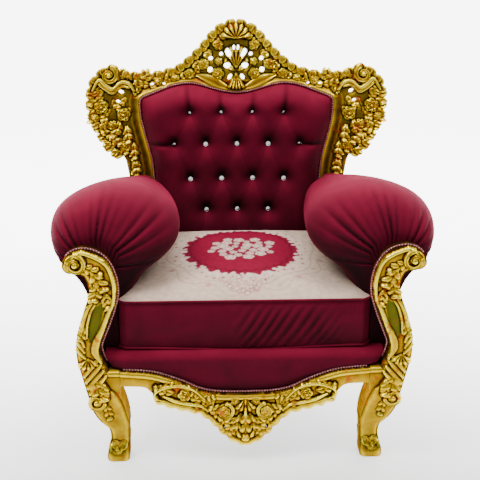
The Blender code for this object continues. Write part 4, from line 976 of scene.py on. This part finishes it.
def pad_rise(x, z):
    """How far the buttoned velvet stands out of the middle of the back sheet."""
    dent = np.zeros(np.shape(x))
    for bx, bz in buttons:
        away = np.hypot(x - bx, z - bz)
        dent = np.maximum(dent, 0.024 * np.exp(-away / 0.012) + 0.012 * np.exp(-((away / 0.030) ** 2)))
    fold = np.zeros(np.shape(x))
    for bx, bz in buttons:
        for cx, cz in buttons:
            if cz < bz and abs(cx - bx) < 1.2 * BUTTON_STEP and bz - cz < 0.13:
                fold = np.maximum(fold, crease(x, z, (bx, bz), (cx, cz), 0.0022, 0.008))
                fold = np.maximum(fold, crease(x, z, (cx, cz), (bx, bz), 0.0022, 0.008))
    for bx, bz in buttons:
        if bz > 0.86:
            fold = np.maximum(fold, crease(x, z, (bx, bz), (bx * 1.06, float(pad_crown(bx))), 0.012, 0.006))
        if abs(bx) > 3.5 * BUTTON_STEP:
            fold = np.maximum(fold, crease(x, z, (bx, bz), (bx * 1.42, bz + 0.004), 0.014, 0.006))
        if bz < 0.6:
            fold = np.maximum(fold, crease(x, z, (bx, bz), (bx * 1.1, 0.46), 0.005, 0.008))
    return 0.0108 + pad_ease(x, z) * (0.076 - dent - fold)


def filled(across, up, low, past_side, past_top, reach=1.0):
    """A grid that fills the opening above that height, drawn past its sides and its upper edge."""
    x = across * (pad_half(low) + past_side)
    for _ in range(6):
        z = low + up * (pad_crown(np.minimum(np.abs(x), reach)) + past_top - low)
        x = across * (pad_half(z) + past_side)
    return x, z


across, up = np.meshgrid(np.linspace(-1, 1, 221), np.linspace(0, 1, 223))
grid_x, grid_z = filled(across, up, PAD_LOW, -0.003, -0.003)
sheet = back_sheet(grid_x, grid_z)
front = np.stack([grid_x, sheet - pad_rise(grid_x, grid_z), grid_z], axis=-1)
rear = np.stack([grid_x, sheet + 0.016, grid_z], axis=-1)


def slab(name, front, rear, material):
    """A closed piece between two grids of points."""
    rows, columns = front.shape[:2]
    index = np.arange(rows * columns).reshape(rows, columns)
    a, b, c, d = index[:-1, :-1], index[:-1, 1:], index[1:, 1:], index[1:, :-1]
    faces = [np.stack([a, b, c, d], axis=-1).reshape(-1, 4)]
    total = rows * columns
    faces.append(faces[0][:, ::-1] + total)
    rim = np.concatenate([index[0], index[1:, -1], index[-1, -2::-1], index[-2:0:-1, 0]])
    after = np.roll(rim, -1)
    faces.append(np.column_stack([after, rim, rim + total, after + total]))
    points = np.concatenate([front.reshape(-1, 3), rear.reshape(-1, 3)])
    thing = new_mesh(name, points, np.concatenate(faces))
    thing.data.materials.append(material)
    return outwards(thing)


pad = slab("back_pad_cover", front, rear, velvet)
# Painted shade above each button and along the drawn folds, and a painted highlight below each button
dark = np.zeros(grid_x.shape)
for bx, bz in buttons:
    away_x, away_z = grid_x - bx, grid_z - bz
    above = 0.30 * np.exp(-((away_x / 0.010) ** 2) - ((away_z - 0.012) / 0.016) ** 2)
    below = 0.10 * np.exp(-((away_x / 0.020) ** 2) - ((away_z + 0.024) / 0.011) ** 2)
    dark = np.maximum(dark, above) - below
    if bz > 0.86:
        end = (bx * 1.06, float(pad_crown(bx)))
        dark = np.maximum(dark, crease(grid_x, grid_z, (bx, bz), end, 0.22, 0.004))
    if abs(bx) > 3.5 * BUTTON_STEP:
        dark = np.maximum(dark, crease(grid_x, grid_z, (bx, bz), (bx * 1.42, bz + 0.004), 0.25, 0.004))
# Painted shade growing towards the pad's lower part, and painted light near its top
dark += 0.10 * np.clip((0.80 - grid_z) / 0.25, 0, 1) - 0.05 * np.clip((grid_z - 0.86) / 0.06, 0, 1)
shade_folds(pad, np.concatenate([dark.ravel(), np.zeros(dark.size)]))
settle(pad, "back_pad")

# Outside back: a plain velvet panel, tacked over the rear of the frame and drawn taut
COVER_LOW = 0.299
across, up = np.meshgrid(np.linspace(-1, 1, 61), np.linspace(0, 1, 61))
grid_x, grid_z = filled(across, up, COVER_LOW, 0.010, 0.008, 0.30)
near = np.stack([grid_x, back_sheet(grid_x, grid_z) + FRAME_HALF + 0.0012, grid_z], axis=-1)
sag = 0.004 * (1 - across**6) * (1 - (2 * up - 1) ** 6) + 0.0008 * np.sin(23 * grid_x + 9 * grid_z)
far = near + np.stack([0 * sag, 0.0035 + sag, 0 * sag], axis=-1)
cover = slab("outside_back_cover", far, near, velvet)
settle(cover, "back_cover")

# Buttons
# Cut glass stones in thin silvered cups, stitched through the pad. The facets flash white and
# take a little red from the velvet round them.
def mottled(name, grain, dark, light, spread=0.2, **settings):
    """A plain finish whose colour wanders between two, in spots of that size."""
    material, tree, shader, coords = new_material(name, **settings)
    spots = add(tree, "ShaderNodeTexNoise", [("Vector", coords)], Scale=1 / grain)
    stops = [(0.5 - spread, dark), (0.5 + spread, light)]
    join(tree, shader, [("Base Color", add(tree, "ShaderNodeValToRGB", [("Fac", spots)], stops))])
    return material


glass = mottled("cut glass", 0.006, "#eef2f6", "#ffffff", Roughness=0.05, IOR=1.52, Transmission_Weight=1.0)
# The cup glows a little, which stands for the flash of its facets
silver = mottled(
    "silvered cup", 0.004, "#d8dce0", "#ffffff", Metallic=1.0, Roughness=0.5, Emission_Strength=0.7
)
for row, (z, places) in enumerate(BUTTON_ROWS, 1):
    for column, k in enumerate(places, 1):
        x = k * BUTTON_STEP
        base = float(back_sheet(x, z) - pad_rise(np.array([x]), np.array([z]))[0]) - 0.012
        rings = []
        for radius, out, turn in (
            (0.0045, -0.006, 0), (0.0074, -0.003, 0), (0.0078, 0.0012, 0), (0.0073, 0.0022, 0),
            (0.0067, 0.0024, 1), (0.0053, 0.0058, 0), (0.0030, 0.0074, 1),
        ):
            angles = (np.arange(12) + 0.5 * turn) * math.pi / 6
            rings.append([(x + radius * math.cos(a), base - out, z + radius * math.sin(a)) for a in angles])
        button = loft(f"stone_{row}_{column}", rings, silver)
        button.data.materials.append(glass)
        for face in button.data.polygons:
            face.use_smooth = False
            face.material_index = int(face.center[1] < base - 0.0023)
        settle(outwards(button), f"button_{row}_{column}")

# Seat cushion
# A loose boxed cushion of feather and foam: a cream jacquard top woven with a crimson
# medallion, velvet boxing, and a piped seam round each edge. It rests on the deck.
CUSHION_FRONT, CUSHION_BACK, SEAM_TOP, SEAM_LOW = -0.402, 0.183, 0.494, 0.352
MEDALLION_Y, MEDALLION_WIDE, MEDALLION_DEEP = -0.078, 0.176, 0.200


def cushion_half(y):
    """Half width of the cushion at a depth, with small rounded corners."""
    share = (y - ARM_FRONT) / (ARM_BACK - ARM_FRONT)
    half = SEAT_HALF_FRONT - 0.003 + share * (SEAT_HALF_BACK - SEAT_HALF_FRONT)
    inset = np.zeros_like(half)
    for edge in (y - CUSHION_FRONT, CUSHION_BACK - y):
        close = np.clip(edge / 0.022, 0, 1)
        inset = np.maximum(inset, 0.022 * (1 - np.sqrt(1 - (1 - close) ** 2)))
    return half - inset


def crown(across, along):
    """How far the top panel rises above its seam."""
    edge = np.clip(1 - np.abs(across) ** 2.6, 0, 1) ** 0.75
    length = np.clip(1 - np.abs(2 * along - 1) ** 3.0, 0, 1) ** 0.7
    return 0.036 * edge * length


def woven(x, y):
    """Colour of the jacquard at a point: cream ground, crimson medallion, pale flowers."""
    cream, shade, rosy = (np.array(linear(code)) for code in ("#d8bca8", "#b4967f", "#b05864"))
    crimson, deep = (np.array(linear(code)) for code in ("#84002c", "#500012"))
    petal, leaf_green = (np.array(linear(code)) for code in ("#e0c2b6", "#a07c68"))
    colour = np.tile(cream, (*x.shape, 1))

    def paint(mask, value):
        colour[:] = colour * (1 - mask[..., None]) + value * mask[..., None]

    def soft(edge, wide=0.0016):
        return np.clip(0.5 + edge / (2 * wide), 0, 1)

    u, v = x / MEDALLION_WIDE, (y - MEDALLION_Y) / MEDALLION_DEEP
    r, a = np.hypot(u, v), np.arctan2(v, u)
    wreath = np.abs(r - 1.28 - 0.05 * np.sin(8 * a)) < 0.018
    paint(0.5 * wreath, shade)
    vine = np.abs(r - 1.45 - 0.09 * np.cos(11 * a)) < 0.02
    paint(0.45 * vine, shade)
    for k in range(22):
        t = 2 * math.pi * k / 22
        away = np.hypot(u - 1.42 * math.cos(t), v - 1.42 * math.sin(t))
        paint(0.5 * soft(0.05 - away, 0.01), rosy if k % 2 else shade)
    lip = 0.98 + 0.05 * np.abs(np.sin(11 * a)) + 0.03 * np.sin(23 * a + 1) + 0.02 * np.sin(47 * a)
    paint(soft((lip + 0.045 - r) * 0.18), petal * 0.92)
    paint(soft((lip - r) * 0.18), crimson)
    paint(0.6 * soft(0.02 - np.abs(r - 0.90 - 0.02 * np.sin(30 * a)), 0.01), deep)
    for k in range(46):
        t = 2 * math.pi * (k + 0.5) / 46 + 0.03 * math.sin(7 * k)
        reach = 1.04 + 0.07 * math.sin(5.1 * k)
        away = np.hypot(u - reach * math.cos(t), v - reach * math.sin(t))
        paint(soft((0.030 + 0.018 * math.sin(3.7 * k) ** 2 - away) * 0.18), petal)
        away = np.hypot(u - (reach + 0.11) * math.cos(t), v - (reach + 0.11) * math.sin(t))
        paint(0.8 * soft((0.014 + 0.014 * math.sin(2.3 * k) ** 2 - away) * 0.18), crimson)
    for k in range(30):
        t = (k + 0.5) / 30
        bu = 0.60 * math.sqrt(t) * math.cos(2.4 * k)
        bv = 0.04 + 0.46 * math.sqrt(t) * math.sin(2.4 * k)
        size = 0.082 + 0.022 * math.sin(5 * k)
        du, dv = u - bu, v - bv
        away, turn = np.hypot(du, dv), np.arctan2(dv, du)
        lobe = size * (0.80 + 0.20 * np.abs(np.cos(2.5 * turn + 3 * k)))
        paint(0.8 * soft((lobe + 0.014 - away) * 0.18), deep)
        paint(soft((lobe - away) * 0.18), petal)
        paint(0.6 * soft((0.018 - np.abs(away - 0.52 * size)) * 0.18), rosy if k % 3 else leaf_green)
    # A spray of small flowers hangs from the medallion towards the front seam
    for k in range(44):
        t = (k + 0.5) / 44
        bu = (0.52 - 0.42 * t) * math.sin(2.4 * k)
        bv = -1.04 - 0.44 * t
        away = np.hypot(u - bu, v - bv)
        paint(0.7 * soft((0.038 + 0.012 * math.sin(5 * k) - away) * 0.18), crimson if k % 3 else rosy)
        paint(soft((0.026 + 0.010 * math.sin(5 * k) - away) * 0.18), petal)
    return colour


count_x, count_y = 271, 183
across, along = np.meshgrid(np.linspace(-1, 1, count_x), np.linspace(0, 1, count_y))
panel_y = CUSHION_FRONT + along * (CUSHION_BACK - CUSHION_FRONT)
panel_x = across * cushion_half(panel_y)
wave = 0.0016 * np.sin(19 * panel_x + 7 * panel_y) * np.sin(13 * panel_y + 1)
sink = -0.004 * np.exp(-((panel_x / 0.2) ** 2)) * np.exp(-(((panel_y + 0.42) / 0.10) ** 2))
panel_z = SEAM_TOP + crown(across, along) + wave * (1 - np.abs(across) ** 4) + sink
top = np.stack([panel_x, panel_y, panel_z], axis=-1)
under = top.copy()
under[..., 2] = SEAM_TOP - 0.014
under[..., 0] *= 0.97
under[..., 1] = -0.11 + 0.97 * (under[..., 1] + 0.11)
ticking, tree, shader, coords = new_material("cream jacquard", Roughness=0.8, Specular_IOR_Level=0.15)
colour = add(tree, "ShaderNodeAttribute", attribute_name="weave").outputs["Color"]
# Threads are 0.5 mm apart on the real cloth; drawn 3 mm apart so that they show
weft = add(tree, "ShaderNodeTexWave", [("Vector", coords)], Scale=105.0, Distortion=0.8, Detail=2.0)
warp = add(tree, "ShaderNodeTexWave", [("Vector", coords)], bands_direction="Y", Scale=105.0, Distortion=0.8)
threads = [(k, wave.outputs["Fac"]) for k, wave in enumerate((weft, warp))]
crossing = add(tree, "ShaderNodeMath", threads, operation="MULTIPLY")
wear = add(tree, "ShaderNodeTexNoise", [("Vector", coords)], Scale=1 / 0.016, Detail=5.0)
shade = add(tree, "ShaderNodeMapRange", [("Value", wear)], i1=0.3, i2=0.7, i3=0.84, i4=1.08)
cloth = add(tree, "ShaderNodeVectorMath", [(0, colour), (1, shade)], operation="MULTIPLY")
bump = add(tree, "ShaderNodeBump", [("Height", crossing)], Strength=0.5, Distance=0.0008)
join(tree, shader, [("Base Color", cloth), ("Normal", bump)])
panel = slab("cushion_top", top, under, ticking)
values = np.ones((2 * count_x * count_y, 4))
values[: count_x * count_y, :3] = woven(panel_x, panel_y).reshape(-1, 3)
values[count_x * count_y :, :3] = linear("#cdb5a6")
panel.data.attributes.new("weave", "FLOAT_COLOR", "POINT").data.foreach_set("color", values.ravel())
settle(panel, None)


def unit(vectors):
    """The vectors at a length of one."""
    return vectors / np.linalg.norm(vectors, axis=1)[:, None]


# Boxing: a band of velvet round the cushion, its front drawn into slanting folds on one side
edge = np.vstack([top[0, :], top[1:, -1], top[-1, -2::-1], top[-2:0:-1, 0]])
edge = smooth_path(np.vstack([edge[::6], edge[:1]])[:, [0, 1]], 520)[:-1]
middle = edge.mean(axis=0)
outward = np.roll(edge, -1, axis=0) - np.roll(edge, 1, axis=0)
outward = unit(np.column_stack([outward[:, 1], -outward[:, 0]]))
rings = []
box_shade = [np.zeros(len(edge))]
at_front = np.clip((CUSHION_FRONT + 0.03 - edge[:, 1]) / 0.03, 0, 1)
side = np.clip((edge[:, 0] + 0.04) / 0.06, 0, 1) * np.clip((0.29 - edge[:, 0]) / 0.10, 0, 1)
for t in np.linspace(0, 1, 26):
    height = SEAM_LOW + t * (SEAM_TOP - 0.004 - SEAM_LOW)
    belly = 0.012 * math.sin(math.pi * t) ** 0.8 * (0.25 + 0.75 * at_front)
    slant = edge[:, 0] - 0.10 * t
    folds = np.sin(2 * math.pi * slant / 0.030 + 0.8 * np.sin(30 * slant))
    belly = belly + 0.0038 * folds * side * at_front * math.sin(math.pi * min(t * 1.1, 1)) ** 0.6
    belly = belly + 0.0010 * np.sin(57 * edge[:, 0]) * at_front * math.sin(math.pi * t)
    sag_down = -0.012 * np.exp(-((edge[:, 0] / 0.22) ** 2)) * at_front * (1 - t)
    x = edge[:, 0] + outward[:, 0] * (belly * (1 - at_front) * 0.1 - 0.001)
    y = edge[:, 1] + outward[:, 1] * (belly - 0.002)
    # Painted shade in the hollows of the front folds
    box_shade.append(0.12 * np.clip(-folds + 0.2, 0, 1) * side * at_front * math.sin(math.pi * t))
    rings.append(np.column_stack([x, y, height + sag_down]))
floor_ring = rings[0].copy()
floor_ring[:, :2] = middle + 0.96 * (floor_ring[:, :2] - middle)
floor_ring[:, 2] = 0.3465
boxing = outwards(loft("cushion_boxing", [floor_ring, *rings], velvet))
shade_folds(boxing, box_shade)
settle(boxing, "seat_cushion")


def cord_along(name, path, radius, material, sides=8):
    """A round piping along a closed path of points."""
    along_path = unit(np.roll(path, -1, axis=0) - np.roll(path, 1, axis=0))
    one = unit(np.cross(along_path, (0.013, 0.021, 1.0)))
    two = np.cross(along_path, one)
    angles = [2 * math.pi * k / sides for k in range(sides)]
    rings = np.array([path + radius * (math.cos(a) * one + math.sin(a) * two) for a in angles])
    rings = rings.transpose(1, 0, 2)
    thing = loft(name, np.concatenate([rings, rings[:1]]), material, cap=False)
    work = bmesh.new()
    work.from_mesh(thing.data)
    bmesh.ops.remove_doubles(work, verts=work.verts, dist=0.00001)
    work.to_mesh(thing.data)
    work.free()
    return outwards(thing)


past_seam = np.column_stack([outward * 0.002, np.zeros(len(edge))])
top_seam = rings[-1] + past_seam
top_seam[:, 2] = SEAM_TOP - 0.002
settle(cord_along("cushion_piping_top", top_seam, 0.0042, velvet), None)
settle(cord_along("cushion_piping_low", rings[0] + past_seam, 0.0040, velvet), None)

# Braid
# A rose silk gimp is glued over the tacks wherever cloth meets gilding, and pinned every
# eight millimetres with small domed nails, so it reads as a dotted pink line.
NAIL_STEP = 0.0080
gimp = mottled("rose silk gimp", 0.003, "#5a1024", "#8c3c50", 0.15, Roughness=0.55)
nail_head = mottled("rose gilt nail", 0.004, "#a06a62", "#d8a294", Metallic=1.0, Roughness=0.3)


def braid(name, path, node=None):
    """Gimp along a path with a domed nail at each step. The nails face the front."""
    length = lengths(path)
    steps = np.linspace(0, length[-1], int(length[-1] / 0.003))
    even = np.column_stack([np.interp(steps, length, c) for c in path.T])
    sideways = unit(np.cross(unit(np.gradient(even, axis=0)), (0, -1, 0)))
    scallop = (0.0032 + 0.0006 * np.sin(steps / 0.0048 * 2 * math.pi))[:, None]
    profile = ((-1, 0.0), (-0.7, 0.0016), (0, 0.0022), (0.7, 0.0016), (1, 0.0), (0, -0.001))
    rings = [even + a * scallop * sideways + np.array((0, -h, 0)) for a, h in profile]
    gimp_piece = loft(name, np.array(rings).transpose(1, 0, 2), gimp)
    points, faces = [], []
    for at in np.arange(NAIL_STEP / 2, length[-1], NAIL_STEP):
        middle = np.array([np.interp(at, length, c) for c in path.T]) + (0, -0.0012, 0)
        start = len(points)
        for radius, out in ((0.0027, 0.0), (0.0024, 0.0014), (0.0014, 0.0022)):
            for k in range(8):
                a = math.pi * k / 4
                points.append(middle + (radius * math.cos(a), -out, radius * math.sin(a)))
        for ring in (start, start + 8):
            for k in range(8):
                j = (k + 1) % 8
                faces.append((ring + k, ring + j, ring + 8 + j, ring + 8 + k))
        faces.append([start + k for k in range(7, -1, -1)])
        faces.append([start + 16 + k for k in range(8)])
    nails = new_mesh(f"{name}_nails", points, faces)
    nails.data.materials.append(nail_head)
    for piece, stands_for in ((outwards(gimp_piece), node), (outwards(nails), None)):
        settle(piece, stands_for)


line_x = np.linspace(-0.350, 0.350, 160)
line_z = rail_top(line_x) + 0.0045
braid("rail_braid", np.column_stack([line_x, np.full(160, RAIL_FACE + 0.0045), line_z]), "braid_rail")
x, z = inner_line[inner_line[:, 1] > 0.50].T
x, z = x + 0.0035 * (z < 0.92), z + 0.004 * (z > 0.92)
half_edge = np.column_stack([x, back_sheet(x, z) - 0.0235, z])
braid("pad_braid", np.vstack([half_edge, (half_edge * (-1, 1, 1))[-2::-1]]), "braid_back")

# The same braid runs over each arm scroll and down the post's edge on the seat's side
for side in (-1, 1):
    edge_line = np.array([on_post(along, 1.10)[:2] for along in np.linspace(0.004, 0.385, 90)])
    arch = np.column_stack([edge_line[:, 0] * side, np.full(90, -0.415), edge_line[:, 1]])
    braid(f"post_braid_{'left' if side < 0 else 'right'}", arch[::side])

# Studio
# The floor sweeps up behind the chair and grows brighter there, so that the chair stands
# against white while its front is lit from above, with little light from before it.
def sweep(name, depth_and_height, half):
    """A sheet of that half width along a line of (y, z)."""
    points = [(x, y, z) for y, z in depth_and_height for x in (-half, half)]
    faces = [(2 * k, 2 * k + 1, 2 * k + 3, 2 * k + 2) for k in range(len(depth_and_height) - 1)]
    return new_mesh(name, points, faces)


curve = [(2.6 + 1.4 * math.sin(a), 1.4 - 1.4 * math.cos(a)) for a in np.linspace(0, math.pi / 2, 12)]
floor = sweep("floor", [(-7, 0), (-1, 0), (0.5, 0), *curve, (4.0, 5.0)], 9)
floor_paint, tree, shader, coords = new_material(
    "matt white floor", Roughness=0.9, Base_Color=(0.80, 0.80, 0.80, 1), Emission_Color=(1, 1, 1, 1)
)
depth = add(tree, "ShaderNodeSeparateXYZ", [("Vector", coords)]).outputs["Y"]
glow = add(tree, "ShaderNodeMapRange", [("Value", depth)], i1=-0.8, i2=1.4, i3=0.42, i4=5.5)
join(tree, shader, [("Emission Strength", glow)])
floor.data.materials.append(floor_paint)
world = bpy.data.worlds.new("studio")
bpy.context.scene.world = world
world.use_nodes = True
sky = world.node_tree
view = add(sky, "ShaderNodeTexCoord").outputs["Generated"]
height = add(sky, "ShaderNodeSeparateXYZ", [("Vector", view)]).outputs["Z"]
background = sky.nodes["Background"]
dome = add(sky, "ShaderNodeValToRGB", [("Fac", height)], [(0.0, 0.06), (0.30, 0.12), (0.72, 0.8), (1.0, 1.1)])
join(sky, background, [("Color", dome)])
background.inputs["Strength"].default_value = 0.9
for place, size, power in (
    ((-1.3, -1.0, 3.0), 1.0, 66), ((1.3, -0.9, 2.8), 0.8, 30), ((0, 0.9, 3.0), 1.2, 40),
):
    lamp = bpy.data.lights.new("softbox", "AREA")
    lamp.shape = "SQUARE"
    lamp.size = size
    lamp.energy = power
    holder = bpy.data.objects.new("softbox", lamp)
    bpy.context.scene.collection.objects.link(holder)
    holder.location = place
    aim = np.array((0, 0, 0.6)) - np.array(place)
    pitch = math.acos(-aim[2] / np.linalg.norm(aim))
    holder.rotation_euler = (pitch, 0, math.atan2(aim[1], aim[0]) - math.pi / 2)
camera = bpy.data.cameras.new("camera")
camera.lens = 73.65
holder = bpy.data.objects.new("camera", camera)
bpy.context.scene.collection.objects.link(holder)
holder.location = (-0.105, -2.95, 1.60)
holder.rotation_euler = (math.pi / 2 - 0.3477, 0, -math.atan2(0.105, 2.95))
bpy.context.scene.camera = holder
